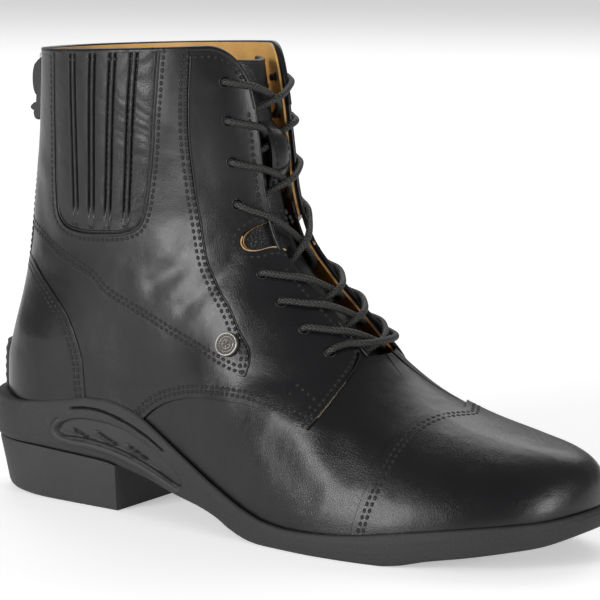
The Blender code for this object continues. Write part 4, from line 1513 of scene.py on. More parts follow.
@dataclass
class Stitcher:
    """Sews rows of stitches along lines with a Geometry Nodes tree."""

    thread: Any
    hole_shade: Any
    pitch: float = 2.6
    length: float = 1.4
    width: float = 0.42
    rise: float = 0.34
    # Sizes of the flat near-black patch of painted shade under each stitch.
    shade_long: float = 1.02
    shade_wide: float = 1.9
    shade_high: float = 0.12
    lines: list[Rows] = field(default_factory=list)

    def add(self, points: np.ndarray, normals: np.ndarray, height: float) -> None:
        """Keep a line to sew.

        Args:
            points: Points on the leather.
            normals: Their normals.
            height: Height of the layer that carries the stitches.
        """
        self.lines.append((points + normals * height, normals))

    def tree(self, name: str, finish: Any) -> Any:
        """Build the tree that sets a bead at every step of the lines.

        Args:
            name: The tree's name.
            finish: The beads' material.

        Returns:
            The tree.
        """
        tree = bpy.data.node_groups.new(name, "GeometryNodeTree")
        face = tree.interface
        face.new_socket("Lines", in_out="INPUT", socket_type="NodeSocketGeometry")
        for label in ("Pitch", "Length", "Width", "Rise"):
            face.new_socket(label, in_out="INPUT", socket_type="NodeSocketFloat")
        face.new_socket("Seam", in_out="OUTPUT", socket_type="NodeSocketGeometry")
        make = tree.nodes.new
        link = tree.links.new
        start, end = make("NodeGroupInput"), make("NodeGroupOutput")
        curve = make("GeometryNodeMeshToCurve")
        dots = make("GeometryNodeCurveToPoints")
        dots.mode = "LENGTH"
        facing = make("GeometryNodeInputNamedAttribute")
        facing.data_type = "FLOAT_VECTOR"
        facing.inputs["Name"].default_value = "facing"
        tip = make("FunctionNodeAlignRotationToVector")
        tip.axis = "X"
        lift = make("FunctionNodeAlignRotationToVector")
        lift.axis = "Z"
        lift.pivot_axis = "X"
        bead = make("GeometryNodeMeshUVSphere")
        bead.inputs["Segments"].default_value = 8
        bead.inputs["Rings"].default_value = 5
        bead.inputs["Radius"].default_value = 1.0
        size = make("ShaderNodeCombineXYZ")
        spread = make("GeometryNodeInstanceOnPoints")
        real = make("GeometryNodeRealizeInstances")
        dress = make("GeometryNodeSetMaterial")
        dress.inputs["Material"].default_value = finish
        link(start.outputs["Lines"], curve.inputs[0])
        link(curve.outputs[0], dots.inputs["Curve"])
        link(start.outputs["Pitch"], dots.inputs["Length"])
        link(dots.outputs["Tangent"], tip.inputs["Vector"])
        link(tip.outputs[0], lift.inputs["Rotation"])
        link(facing.outputs[0], lift.inputs["Vector"])
        for label, axis in (("Length", "X"), ("Width", "Y"), ("Rise", "Z")):
            link(start.outputs[label], size.inputs[axis])
        link(dots.outputs["Points"], spread.inputs["Points"])
        link(bead.outputs["Mesh"], spread.inputs["Instance"])
        link(lift.outputs[0], spread.inputs["Rotation"])
        link(size.outputs[0], spread.inputs["Scale"])
        link(spread.outputs[0], real.inputs[0])
        link(real.outputs[0], dress.inputs[0])
        link(dress.outputs[0], end.inputs[0])
        return tree

    def sew(self, name: str) -> list[Any]:
        """Sew every kept line.

        Args:
            name: Name of the seam.

        Returns:
            The stitches and the flat near-black patches of painted shade under them.
        """
        points = np.concatenate([p for p, _ in self.lines])
        normals = np.concatenate([n for _, n in self.lines])
        edges = []
        base = 0
        for line, _ in self.lines:
            edges += [(base + i, base + i + 1) for i in range(len(line) - 1)]
            base += len(line)
        made = []
        plans = (
            (name, self.thread, (self.length / 2, self.width / 2, self.rise / 2)),
            # The second plan lays the flat near-black patches of painted shade under the stitches.
            (name + "_pricks", self.hole_shade, (self.shade_long, self.width * self.shade_wide, self.shade_high)),
        )
        for label, finish, sizes in plans:
            data = bpy.data.meshes.new(label)
            data.from_pydata(metres(points), edges, [])
            mark = data.attributes.new("facing", "FLOAT_VECTOR", "POINT")
            mark.data.foreach_set("vector", normals.astype(np.float32).ravel())
            values = (self.pitch * MM, *(s * MM for s in sizes))
            named = dict(zip(("Pitch", "Length", "Width", "Rise"), values))
            piece = Solid.grown(label, data, self.tree(label, finish), named)
            piece.data.shade_smooth()
            made.append(piece)
        self.lines.clear()
        return made


@dataclass
class Upper:
    """The leather upper: shell, lining, layered panels, edges, holes and seams."""

    skin: Skin
    looks: Finishes
    fold: float = 0.5
    row_gap: float = 2.1
    hole_radius: float = 1.9
    ring_radius: float = 2.12

    def outlines(self) -> dict[str, np.ndarray]:
        """Closed side-view outline of each panel.

        Returns:
            Outlines by name.
        """
        def closed(*parts: Any) -> np.ndarray:
            """One outline from several runs."""
            return np.concatenate([np.asarray(p, float) for p in parts])

        far = (
            (156.0, 90.0), (148.0, 101.0), (140.0, 113.0), (134.0, 126.0), (132.0, 230.0),
            (-40.0, 230.0), (-40.0, 10.0), (78.0, 10.0),
        )
        return {
            "quarter": closed(spline(QUARTER_LINE)[:-1], spline(FACING_LINE), far),
            "panel": closed(
                spline(PANEL_FRONT)[:-1], spline(PANEL_BACK),
                ((-40.0, 119.0), (-40.0, 230.0), (99.8, 230.0)),
            ),
            "counter": closed(spline(COUNTER_LINE), ((52.6, 10.0), (-40.0, 10.0), (-40.0, 98.5))),
            "gore": closed(spline(GORE_LINE), ((88.8, 230.0), (36.5, 230.0))),
            "notch": closed(spline(NOTCH_LINE), ((150.0, 105.6), (150.0, 124.6))),
        }

    def holes(self) -> list[Any]:
        """Cutters for the punched lace holes.

        Returns:
            The cutters.
        """
        rods = []
        for side in Side:
            for x, z in EYELETS:
                spot, normal = self.skin.seat(x, z, side.value)
                path = np.array([spot + normal * h for h in (-6.0, 6.0)])
                rods.append(Solid.cord("rod", path, self.hole_radius, 20))
        return rods

    def build(self) -> None:
        """Make and dress the upper."""
        shapes = self.outlines()
        skin, looks = self.skin, self.looks
        shell = skin.wall("leather_shell", -1.2, 0.0, looks.leather)
        lining = skin.wall("lining_shell", -WALL, -1.22, looks.lining)
        rods = Solid.join("rods", self.holes())
        notch = Solid.prism(shapes["notch"])
        quarter = skin.wall("quarter_leather", 0.02, OVERLAY, looks.leather)
        panel = skin.wall("side_panel", 0.03, RAISED, looks.leather)
        counter = skin.wall("heel_counter", 0.04, RAISED, looks.leather)
        cap = skin.wall("toe_cap", 0.03, OVERLAY, looks.leather)
        pieces = ((quarter, "quarter"), (panel, "panel"), (counter, "counter"))
        for piece, shape in pieces:
            Solid.combine(piece, [Solid.prism(shapes[shape])], "INTERSECT")
        Solid.combine(cap, [self.cap_cutter()], "INTERSECT")
        for piece in (quarter, panel):
            Solid.combine(piece, [Solid.prism(shapes["gore"])], "DIFFERENCE")
        for piece in (shell, lining, quarter):
            cutters = []
            for source in (rods, notch):
                copy = source.copy()
                copy.data = source.data.copy()
                bpy.context.scene.collection.objects.link(copy)
                cutters.append(copy)
            Solid.combine(piece, cutters, "DIFFERENCE")
        for extra in (rods, notch):
            bpy.data.objects.remove(extra)
        for piece in (shell, quarter, panel, counter, cap):
            Solid.wear(Solid.soften(piece), "upper", "leather")
        Solid.wear(Solid.soften(lining), "upper", "lining")
        self.edges()
        self.raw_edges()
        self.gusset()
        self.rings()
        self.seams()

    def edges(self) -> None:
        """Turned edges of the panels, the facings and the collar."""
        skin = self.skin
        parts = []
        runs = (
            (QUARTER_LINE, OVERLAY, 0.5), (FACING_LINE, OVERLAY, 0.5), (PANEL_FRONT[1:], RAISED, 0.3),
            (PANEL_BACK, RAISED, 0.3), (COUNTER_LINE[1:-1], RAISED, 0.4),
        )
        for side in Side:
            for line, high, fold in runs:
                points, normals = skin.lay(spline(line), side.value)
                lift = high - fold * 0.92
                parts.append(Solid.cord("edge", points + normals * lift, fold, 8, self.looks.leather))
        cap, normals = self.cap_line(0.0)
        parts.append(Solid.cord("edge", cap + normals * (OVERLAY - 0.45), self.fold, 8, self.looks.leather))
        for side in Side:
            line = skin.facing(side.value, 0.25)
            parts.append(Solid.cord("edge", line, 0.95, 10, self.looks.leather))
        binding = skin.rim(0.45) - np.array((0.0, 0.0, 0.55))
        parts.append(Solid.cord("edge", binding, 1.25, 12, self.looks.leather))
        Solid.wear(Solid.soften(Solid.join("turned_edges", parts), 60.0), "upper", "leather")

    def raw_edges(self) -> None:
        """Pale cut edge of the leather at the flex notch and at the facing's front."""
        parts = []
        for side in Side:
            for table, radius in ((NOTCH_LINE[5:11], 0.4), (FACING_LINE[1:4], 0.5)):
                points, normals = self.skin.lay(spline(table, 0.7), side.value)
                parts.append(Solid.cord("raw", points + normals * -0.05, radius, 8, self.looks.raw))
        Solid.wear(Solid.soften(Solid.join("notch_edge", parts), 60.0), "upper", "leather")

    def rings(self) -> None:
        """Pressed edge round each punched hole."""
        parts = []
        for side in Side:
            for x, z in EYELETS:
                spot, normal = self.skin.seat(x, z, side.value)
                centre = spot + normal * (OVERLAY - 0.12)
                path = centre + self.ring_radius * round_about(normal, np.linspace(0.0, 2 * np.pi, 25))
                parts.append(Solid.cord("ring", path, 0.36, 8, self.looks.soft))
        Solid.wear(Solid.soften(Solid.join("hole_rims", parts), 60.0), "upper", "leather")

    def cap_line(self, shift: float) -> Rows:
        """Line of the toe cap's seam over the foot, moved forwards.

        Args:
            shift: How far forwards.

        Returns:
            Points and normals.
        """
        turns = np.linspace(2.0, 90.0, 60)
        halves = []
        for side in Side:
            x = smooth(CAP_TURN, 1, turns) + shift
            floor = rim_z(x) - FEATHER_DROP
            level = plan(x, side.value, -1.0, LENGTH * SLICES[1][2], FEATHER_INSET)
            centre = middle(x)
            y = centre + (side.value * level - centre) * np.cos(np.radians(turns))
            z = floor + (ridge_z(x) - floor) * np.sin(np.radians(turns))
            halves.append(np.stack((x, y, z), axis=-1))
        knots = np.concatenate((halves[0], halves[1][-2::-1]))
        points, normals = self.skin.press(knots)
        return Skin.blur(points), normals

    def cap_cutter(self) -> Any:
        """Body in front of the toe cap's seam.

        Returns:
            The cutter.
        """
        line, _ = self.cap_line(0.0)
        count = len(line)
        core = np.array((7.0, -20.0))
        ray = unit(line[:, 1:] - core)
        rings = []
        for reach, ahead in ((140.0, False), (2.0, False), (2.0, True), (140.0, True)):
            x = np.full(count, 300.0) if ahead else line[:, 0]
            rings.append(np.column_stack((x, core + ray * reach)))
        faces: Faces = []
        for k in range(4):
            a, b = k * count, (k + 1) % 4 * count
            faces += [(a + i, a + i + 1, b + i + 1, b + i) for i in range(count - 1)]
        for i in (0, count - 1):
            faces.append(tuple(k * count + i for k in range(4)))
        return Solid.mesh("cap_cutter", np.concatenate(rings), faces)

    def gusset(self) -> None:
        """Soft leather behind each flex notch."""
        parts = []
        heights = np.linspace(103.5, 126.5, 24)
        ends = np.interp(heights, (103.0, 108.5, 123.0, 127.0), (136.0, 133.0, 126.0, 125.0))
        for side in Side:
            pairs = [
                [self.skin.seat(float(x), float(z), side.value) for x in np.linspace(115.0, end, 20)]
                for z, end in zip(heights, ends)
            ]
            points, normals = parted(pairs)
            parts.append(Solid.sheet("gusset", points, normals, -3.2, -2.3, self.looks.soft))
        Solid.wear(Solid.soften(Solid.join("notch_gusset", parts), 50.0), "upper", "leather")

    @staticmethod
    def trim(row: Rows, other: np.ndarray, reach: float) -> Rows:
        """Row of stitches without the stretch that runs past another edge.

        Args:
            row: Points and normals.
            other: The other edge, seen from the side.
            reach: Distance that the row keeps from it.

        Returns:
            The kept points and normals.
        """
        kept = distance_to(row[0][:, (0, 2)], other) > reach * 0.92
        return row[0][kept], row[1][kept]

    def seams(self) -> None:
        """Every row of stitches on the panels."""
        skin = self.skin
        sewing = Stitcher(self.looks.thread, self.looks.hole_shade)
        gap = self.row_gap
        for side in Side:
            mark = side.value
            for shift in (gap, 2 * gap):
                line = spline(QUARTER_LINE)
                sewing.add(*skin.lay(line, mark, shift, (110.0, 90.0)), OVERLAY)
                reach = shift - 0.9
                front, back = spline(PANEL_FRONT[1:]), spline(PANEL_BACK)
                row = skin.lay(front, mark, reach, (90.0, 110.0))
                sewing.add(*self.trim(row, back, reach), RAISED)
                row = skin.lay(back, mark, reach, (80.0, 120.0))
                sewing.add(*self.trim(row, front, reach), RAISED)
                line = spline(COUNTER_LINE[1:-1])
                sewing.add(*skin.lay(line, mark, shift, (20.0, 60.0)), RAISED)
            line = spline(FACING_LINE[:-1])
            sewing.add(*skin.lay(line, mark, 1.9, (130.0, 70.0)), OVERLAY)
            for start, end in ((BOX[0], BOX[1]), (BOX[1], BOX[2]), (BOX[2], BOX[3])):
                line = np.linspace(start, end, 12)
                sewing.add(*skin.lay(line, mark), OVERLAY)
            line = spline(NOTCH_LINE[1:11], 0.8)
            sewing.add(*skin.lay(line, mark, 2.6, (105.0, 114.0)), OVERLAY)
            edge = skin.facing(mark, 0.0)
            for low, high in ((0.03, 0.36), (0.52, 0.97)):
                part = edge[int(low * len(edge)):int(high * len(edge))]
                sewing.add(*skin.press(part + (-1.2, mark * 2.6, -0.4)), OVERLAY)
        sewing.add(*skin.press(skin.rim(0.0)[3:-3] - (0.0, 0.0, 3.6)), RAISED - 0.2)
        for shift in (gap, 2 * gap):
            sewing.add(*self.cap_line(shift + 0.6), OVERLAY)
        for piece in sewing.sew("panel_seams"):
            Solid.wear(piece, "upper", "leather")


@dataclass
class Gore:
    """Pleated elastic insert at the side of the shaft, with its piped edge."""

    skin: Skin
    looks: Finishes
    columns: int = 230
    rows: int = 96
    top: float = 186.5

    def edge(self, z: np.ndarray) -> Rows:
        """Back and front edge of the insert at a height.

        Args:
            z: Heights.

        Returns:
            Forward places of the two edges.
        """
        return np.interp(z, *np.transpose(GORE_BACK)), np.interp(z, *np.transpose(GORE_FRONT))

    def build(self, side: Side, node: str) -> None:
        """Make one insert.

        Args:
            side: The side it is on.
            node: The solid that it stands for.
        """
        floor = spline(GORE_LINE[4:11], 0.5)
        ups = np.linspace(0.0, 1.0, self.rows + 1)
        shares = np.linspace(0.0, 1.0, self.columns + 1)
        foot_x = np.interp(shares, (0.0, 1.0), (34.4, 81.0))
        foot_z = np.interp(foot_x, floor[:, 0], floor[:, 1]) - 0.3
        heights = np.zeros((len(ups), len(shares)))
        normals = np.zeros((len(ups), len(shares), 3))
        points = np.zeros_like(normals)
        rng = np.random.default_rng(7)
        phase = rng.uniform(0.0, 6.28, 12)
        for r, up in enumerate(ups):
            z = foot_z + (self.top - foot_z) * up
            back, front = self.edge(z)
            x = back + (front - back) * shares
            x = x * up ** 0.15 + foot_x * (1 - up ** 0.15) if up < 0.12 else x
            for c, (a, b) in enumerate(zip(x, z)):
                points[r, c], normals[r, c] = self.skin.seat(a, b, side.value)
            heights[r] = self.pleats(x, z, back, front, phase)
        insert = Solid.sheet(f"{node}_pleats", points, normals, 0.05, heights, self.looks.elastic)
        Solid.wear(Solid.soften(insert, 70.0), node, "elastic")
        self.piping(side, node)

    def pleats(
        self, x: np.ndarray, z: np.ndarray, back: np.ndarray, front: np.ndarray, phase: np.ndarray,
    ) -> np.ndarray:
        """Height of the pleated leather.

        Args:
            x: Forward places of one row.
            z: Heights of one row.
            back: Back edge.
            front: Front edge.
            phase: Fixed turns of the wrinkles.

        Returns:
            Heights off the base leather.
        """
        lines = []
        for top_x, foot_x, foot in CHANNELS:
            lines.append(foot_x + (top_x - foot_x) * (z - foot) / (CHANNEL_TOP - foot))
        walls = [back] + lines + [front]
        height = np.full(len(x), 0.7)
        fade = ease(117.0, 124.0, z)
        for i, (a, b) in enumerate(zip(walls, walls[1:])):
            s = np.clip((x - a) / np.maximum(b - a, 1e-6), 0.0, 1.0)
            inside = (x >= a) & (x < b)
            puff = (4 * s * (1 - s)) ** 0.4
            drift = z + 2.6 * np.sin(z * 0.19 + phase[i]) + 3.4 * np.sin(s * 2.4 + z * 0.11)
            wave = np.sin(drift * 0.83 + phase[i + 1]) * np.sin(drift * 0.37 + phase[i + 5])
            crumple = (0.03 + 0.13 * ease(1.5, 4.0, i)) * wave * puff
            height = np.where(inside, 0.9 + (0.95 * puff + crumple) * (0.4 + 0.6 * fade), height)
        for line in lines:
            far = np.abs(x - line)
            ridge = 0.55 * np.exp(-(far / 0.5) ** 2)
            ditch = -1.25 * np.exp(-((far - 1.3) / 0.55) ** 4)
            height = height + (ridge + ditch) * fade
        return np.maximum(height, 0.15)

    def piping(self, side: Side, node: str) -> None:
        """Piped edge and the rows of stitches inside and outside it.

        Args:
            side: The side it is on.
            node: The solid that it stands for.
        """
        skin, mark = self.skin, side.value
        outline = spline([p for p in GORE_LINE if p[1] < 190.0], 0.8)
        middle_of = (61.0, 150.0)
        parts = []
        for shift, radius, lift in ((0.1, 0.75, 1.35), (1.5, 0.5, 1.2)):
            points, normals = skin.lay(outline, mark, shift, middle_of)
            parts.append(Solid.cord("pipe", points + normals * lift, radius, 8, self.looks.elastic))
        Solid.wear(Solid.soften(Solid.join(f"{node}_piping", parts), 60.0), node, "elastic")
        sewing = Stitcher(self.looks.thread, self.looks.hole_shade, pitch=2.5)
        points, normals = skin.lay(outline, mark, 3.0, middle_of)
        sewing.add(points, normals, 1.15)
        points, normals = skin.lay(outline, mark, -1.9, middle_of)
        sewing.add(points, normals, RAISED)
        for top_x, foot_x, foot in CHANNELS:
            for aside in (-1.35, 1.35):
                line = [(foot_x + aside, foot - 0.5), (top_x + aside, CHANNEL_TOP)]
                sewing.add(*skin.lay(spline(line, 1.5), mark), 0.5)
        for piece in sewing.sew(f"{node}_seams"):
            Solid.wear(piece, node, "elastic")


@dataclass
class BackZip:
    """The zip down the back: strips beside it, tape, teeth, slider and hanging pull."""

    skin: Skin
    looks: Finishes
    half: float = 9.0
    low_z: float = 64.0
    high_z: float = 182.0
    tooth_pitch: float = 1.9

    def around(self, z: float, across: float) -> Rows:
        """Point of the back at a height and a distance across.

        Args:
            z: The height.
            across: Signed distance from the middle.

        Returns:
            The place and normal.
        """
        start = Vector((-60.0, across, z))
        spot, normal, _, _ = self.skin.tree.ray_cast(start, Vector((1.0, 0.0, 0.0)))
        normal = np.array(normal)
        return np.array(spot), normal if normal[0] < 0 else -normal

    def row(self, heights: np.ndarray, across: float) -> Rows:
        """Points and normals down the back.

        Args:
            heights: Their heights.
            across: Signed distance from the middle.

        Returns:
            Points and normals.
        """
        points, normals = parted([self.around(float(z), across) for z in heights])
        return points, unit(normals)

    def band(
        self, name: str, span: Pair, across: Sequence[float], low: float, high: Any, finish: Any,
    ) -> Any:
        """Closed band down the back.

        Args:
            name: The piece's name.
            span: Its lowest and highest place.
            across: Distances across.
            low: Offset of its underside.
            high: Offset of its top.
            finish: The material.

        Returns:
            The object.
        """
        heights = np.arange(span[0], span[1], 1.5)
        pairs = [[self.around(float(z), a) for a in across] for z in heights]
        points, normals = parted(pairs)
        return Solid.sheet(name, points, unit(normals), low, high, finish)

    def build(self) -> None:
        """Make and dress the zip and its strips."""
        looks = self.looks
        for side in Side:
            mark = side.value
            across = sorted(mark * a for a in np.linspace(3.3, self.half, 12))
            bulge = 1.9 + 0.6 * (1 - np.linspace(-1.0, 1.0, 12) ** 4)
            name = f"back_strip_{side.name.lower()}"
            strip = self.band(name, (50.0, 184.0), across, 0.0, bulge, looks.leather)
            Solid.wear(Solid.soften(strip, 60.0), "upper", "leather")
        span = (self.low_z, self.high_z)
        tape = self.band("zip_tape", span, np.linspace(-3.2, 3.2, 9), 0.9, 1.3, looks.tape)
        Solid.wear(Solid.soften(tape), "zip", "cord")
        self.teeth()
        self.slider()
        self.pull()
        sewing = Stitcher(looks.thread, looks.hole_shade)
        for mark in (-1, 1):
            for across in (4.3, 7.9):
                sewing.add(*self.row(np.arange(52.0, 182.0, 1.3), mark * across), 2.42)
        for piece in sewing.sew("strip_seams"):
            Solid.wear(piece, "upper", "leather")

    def teeth(self) -> None:
        """Coil of teeth in two offset rows."""
        sewing = Stitcher(self.looks.teeth, self.looks.hole_shade, self.tooth_pitch, 1.1, 2.3, 1.1)
        for mark, lag in ((-1, 0.0), (1, self.tooth_pitch / 2)):
            heights = np.arange(self.low_z + 2.0 + lag, self.high_z - 14.0, 1.0)
            sewing.add(*self.row(heights, mark * 0.85), 1.6)
        beads, hole_shades = sewing.sew("zip_teeth")
        Solid.wear(beads, "zip", "cord")
        bpy.data.objects.remove(hole_shades)

    def block(self, name: str, outline: Any, half: float, finish: Any, round_: float) -> Any:
        """Rounded block from a side-view outline.

        Args:
            name: The piece's name.
            outline: Its outline.
            half: Half its width.
            finish: The material.
            round_: Radius of its edges.

        Returns:
            The object.
        """
        piece = Solid.prism(outline, -half, half)
        piece.name = name
        piece.data.materials.append(finish)
        step = piece.modifiers.new("round", "BEVEL")
        step.width = round_ * MM
        step.segments = 3
        step.limit_method = "ANGLE"
        piece.data = Solid.applied(piece)
        return Solid.soften(piece, 40.0)

    def slider(self) -> None:
        """Slider of the zip with its bridge."""
        body = ((12.0, 169.0), (12.4, 176.0), (12.3, 182.8), (10.3, 183.2), (9.9, 176.0), (10.0, 169.6))
        bridge = ((11.2, 180.6), (11.2, 183.4), (7.4, 183.4), (6.4, 182.8), (6.8, 181.9), (9.6, 181.7))
        parts = [
            self.block("slider", body, 3.6, self.looks.steel, 0.5),
            self.block("bridge", bridge, 1.5, self.looks.steel, 0.35),
        ]
        Solid.wear(Solid.soften(Solid.join("zip_slider_body", parts), 40.0), "zip_slider", "metal")

    def pull(self) -> None:
        """Hanging pull: a plate with a domed front, a nose, a rounded end and a metal bit."""
        plate = (
            (8.7, 179.6), (8.8, 158.0), (8.6, 155.0), (7.6, 153.3), (6.2, 153.0), (4.8, 153.9),
            (4.2, 156.2), (5.6, 158.6), (5.8, 164.0), (6.0, 177.6),
        )
        dome = []
        for turn in np.linspace(0.0, np.pi, 15):
            dome.append((6.4 - 3.3 * math.sin(turn) ** 0.7, 170.2 - 7.2 * math.cos(turn)))
        nose = ((6.4, 160.6), (3.6, 160.2), (1.9, 158.8), (1.7, 157.6), (3.2, 156.8), (6.4, 156.6))
        rubber = [
            self.block("plate", plate, 4.1, self.looks.block, 0.7),
            self.block("dome", dome, 3.2, self.looks.block, 0.9),
            self.block("nose", nose, 2.6, self.looks.block, 0.5),
        ]
        for z in (166.6, 169.0, 171.4, 173.8):
            path = np.array([(3.5, y, z) for y in np.linspace(-2.2, 2.2, 5)])
            rubber.append(Solid.cord("rib", path, 0.4, 8, self.looks.block))
        Solid.wear(Solid.soften(Solid.join("pull_grip", rubber), 40.0), "zip_pull", "pull", "pull")
        hinge = ((8.8, 177.6), (8.6, 180.6), (7.6, 181.3), (6.6, 180.6), (6.4, 177.6))
        bit = self.block("pull_hinge", hinge, 2.4, self.looks.steel, 0.4)
        Solid.wear(bit, "zip_pull", "metal", "pull")


@dataclass
class Throat:
    """The tongue, its lace keeper and the laces."""

    skin: Skin
    looks: Finishes
    keeper_crossing: int = 1
    half: float = 22.0
    keeper_half: float = 7.0

    def tongue(self) -> None:
        """Soft tongue with a bound top edge."""
        rows = np.linspace(0.44, 0.982, 70)
        halves = np.linspace(-self.half, self.half, 45)
        high = np.interp(rows, (0.45, 0.53), (-WALL - 0.6, -6.6))
        points = self.skin.across(rows, halves)
        normals = self.open_normals(points)
        puff = 0.5 * np.cos(halves / self.half * np.pi / 2)[None, :] + 0.12 * np.sin(rows * 46.0)[:, None]
        top = high[:, None] + puff - 0.5
        piece = Solid.sheet("tongue_leather", points, normals, high[:, None] - 2.1, top, self.looks.soft)
        Solid.wear(Solid.soften(piece), "tongue", "leather")
        rim = points[-1] + normals[-1] * (high[-1] - 1.0)
        bound = Solid.cord("tongue_binding", rim, 1.2, 10, self.looks.soft)
        Solid.wear(bound, "tongue", "leather")
        sewing = Stitcher(self.looks.thread, self.looks.hole_shade)
        for shift in (3, 41):
            sewing.add(points[8:-3, shift], normals[8:-3, shift], -6.55)
        sewing.add(points[-5, 3:42], normals[-5, 3:42], -6.55)
        for part in sewing.sew("tongue_seams"):
            Solid.wear(part, "tongue", "leather")

    @staticmethod
    def open_normals(points: np.ndarray) -> np.ndarray:
        """Normals of an open grid, away from the foot."""
        normals = unit(np.cross(np.gradient(points, axis=1), np.gradient(points, axis=0)))
        return normals if normals[len(normals) // 2, len(normals[0]) // 2, 0] > 0 else -normals

    def keeper(self) -> None:
        """Leather strap on the tongue that holds one crossing."""
        knots = (
            (0.816, -6.2), (0.827, -5.2), (0.836, -3.4), (0.847, -1.6), (0.866, -0.8),
            (0.884, -1.3), (0.895, -3.2), (0.902, -5.2), (0.908, -6.2),
        )
        path = spline([(v * 100.0, h) for v, h in knots], 0.25)
        halves = np.linspace(-self.keeper_half, self.keeper_half, 17)
        points = self.skin.across(path[:, 0] / 100.0, halves)
        normals = self.open_normals(points)
        crown = 0.25 * np.cos(halves / self.keeper_half * np.pi / 2)[None, :]
        high = path[:, 1][:, None] + crown
        piece = Solid.sheet("keeper_strap", points, normals, high - 1.2, high, self.looks.leather)
        Solid.wear(Solid.soften(piece, 50.0), "tongue_loop", "leather")
        sewing = Stitcher(self.looks.thread, self.looks.hole_shade)
        for mark in (3, 13):
            line = points[:, mark] + normals[:, mark] * high[:, mark][:, None]
            sewing.add(line[4:-4], normals[4:-4, mark], 0.02)
        for part in sewing.sew("keeper_seams"):
            Solid.wear(part, "tongue_loop", "leather")

    def strand(self, side: int) -> tuple[list[np.ndarray], int]:
        """Middle points of one strand, from the top hole down to the lowest.

        Args:
            side: The side of the top hole.

        Returns:
            The points and the side of the lowest hole.
        """
        skin = self.skin
        over = OVERLAY + LACE_RADIUS + 0.15
        under = -WALL - LACE_RADIUS - LACE_CLEAR
        path: list[np.ndarray] = []
        for i, (x, z) in enumerate(EYELETS):
            v = skin.height_of(x, z, side)
            spot, normal = skin.seat(x, z, side)
            path.append(spot + normal * (under - 0.3))
            path.append(spot + normal * (over - 0.5))
            if i == len(EYELETS) - 1:
                break
            drop = skin.height_of(*EYELETS[i + 1], -side) - v
            path.append(skin.front(v + drop * 0.06, side * 17.0, over - 0.1))
            path.append(skin.front(v + drop * 0.12, side * 13.2, over))
            if i == self.keeper_crossing:
                path.append(skin.front(v + drop * 0.2, side * 9.8, -0.4))
                path.append(skin.front(v + drop * 0.3, side * 7.2, -4.0))
                path.append(skin.front(v + drop * 0.45, 0.0, -4.2))
            else:
                path.append(skin.front(v + drop * 0.22, side * 9.4, over * 0.6))
                lift = 1.3 if side > 0 else -1.6
                path.append(skin.front(v + drop * 0.42, 0.0, -0.6 + lift))
            path.append(skin.front(v + drop * 0.66, side * -9.2, under + 0.4))
            path.append(skin.front(v + drop * 0.82, side * -14.0, under - 0.4))
            path.append(skin.front(v + drop * 0.95, side * -17.6, under - 0.5))
            side = -side
        return path, side

    def laces(self) -> None:
        """Both strands and the bar across the lowest holes."""
        over = OVERLAY + LACE_RADIUS + 0.15
        first, end = self.strand(-1)
        second, _ = self.strand(1)
        v = self.skin.height_of(*EYELETS[-1], 1) + 0.012
        bar = []
        for across, rise in LACE_BAR:
            bar.append(self.skin.front(v, end * across, over + rise))
        whole = spline(first + bar + second[::-1], 0.8)
        piece = Solid.cord("lace_cord", Skin.blur(whole), LACE_RADIUS, 14, self.looks.cord)
        Solid.wear(piece, "lace", "cord")

    def build(self) -> None:
        """Make and dress the throat."""
        self.tongue()
        self.keeper()
        self.laces()


@dataclass
class Badge:
    """Round stud on the outer side: rope edge, ring of dots and a small rosette."""

    skin: Skin
    looks: Finishes
    radius: float = 4.85
    x: float = 122.9
    z: float = 73.5
    dots: int = 22

    def build(self) -> None:
        """Make and dress the stud."""
        spot, normal = self.skin.seat(self.x, self.z, -1)
        profile = []
        for r in np.linspace(0.0, 1.0, 46):
            height = 1.5 + 0.25 * math.sqrt(max(1 - r * r, 0.0))
            for centre, width, lift in ((0.9, 0.06, 0.42), (0.62, 0.025, 0.2), (0.36, 0.025, 0.18)):
                height += lift * math.exp(-((r - centre) / width) ** 2)
            if r > 0.96:
                height -= (r - 0.96) / 0.04 * 1.1
            profile.append((r, height))
        turns = np.linspace(0.0, 2 * np.pi, 221)[:-1]
        ways = round_about(normal, turns)
        points = []
        low = []
        base = spot + normal * 1.7
        for r, height in profile[1:]:
            for a, way in zip(turns, ways):
                h = height
                flat = 1.0
                for centre, width in ((0.9, 0.07), (0.62, 0.04), (0.36, 0.04)):
                    flat = min(flat, 1 - math.exp(-((r - centre) / width) ** 2))
                if 0.66 < r < 0.84:
                    bead = math.exp(-((r - 0.755) / 0.05) ** 2) * max(math.cos(a * self.dots), 0.0) ** 1.5
                    h += 0.3 * bead
                    flat = min(flat, 1 - bead)
                if r < 0.34:
                    petal = max(math.cos(a * 4), 0.0) ** 2 * math.sin(min(r / 0.34, 1.0) * math.pi)
                    h += 0.3 * petal
                    flat = min(flat, 1 - petal)
                if 0.42 < r < 0.58:
                    ray = max(math.cos(a * 16), 0.0) * math.exp(-((r - 0.5) / 0.06) ** 2)
                    h += 0.14 * ray
                    flat = min(flat, 1 - 0.6 * ray)
                points.append(base + self.radius * r * way + normal * h)
                low.append(flat)
        count = len(turns)
        rings = len(profile) - 1
        points += [base + self.radius * 0.98 * way for way in ways]
        points += [base + normal * profile[0][1], base]
        low += [1.0] * count + [0.0, 1.0]
        faces: Faces = []
        for r in range(rings):
            faces += ring_faces(r * count, (r + 1) * count, count)
        tip = (rings + 1) * count
        under = tip + 1
        for k in range(count):
            j = (k + 1) % count
            faces.append((tip, j, k))
            faces.append((under, rings * count + k, rings * count + j))
        piece = Solid.mesh("badge_face", points, faces, self.looks.badge)
        mark = piece.data.attributes.new("low", "FLOAT", "POINT")
        mark.data.foreach_set("value", np.array(low, np.float32))
        Solid.wear(Solid.soften(piece, 60.0), "badge_stud", "metal")


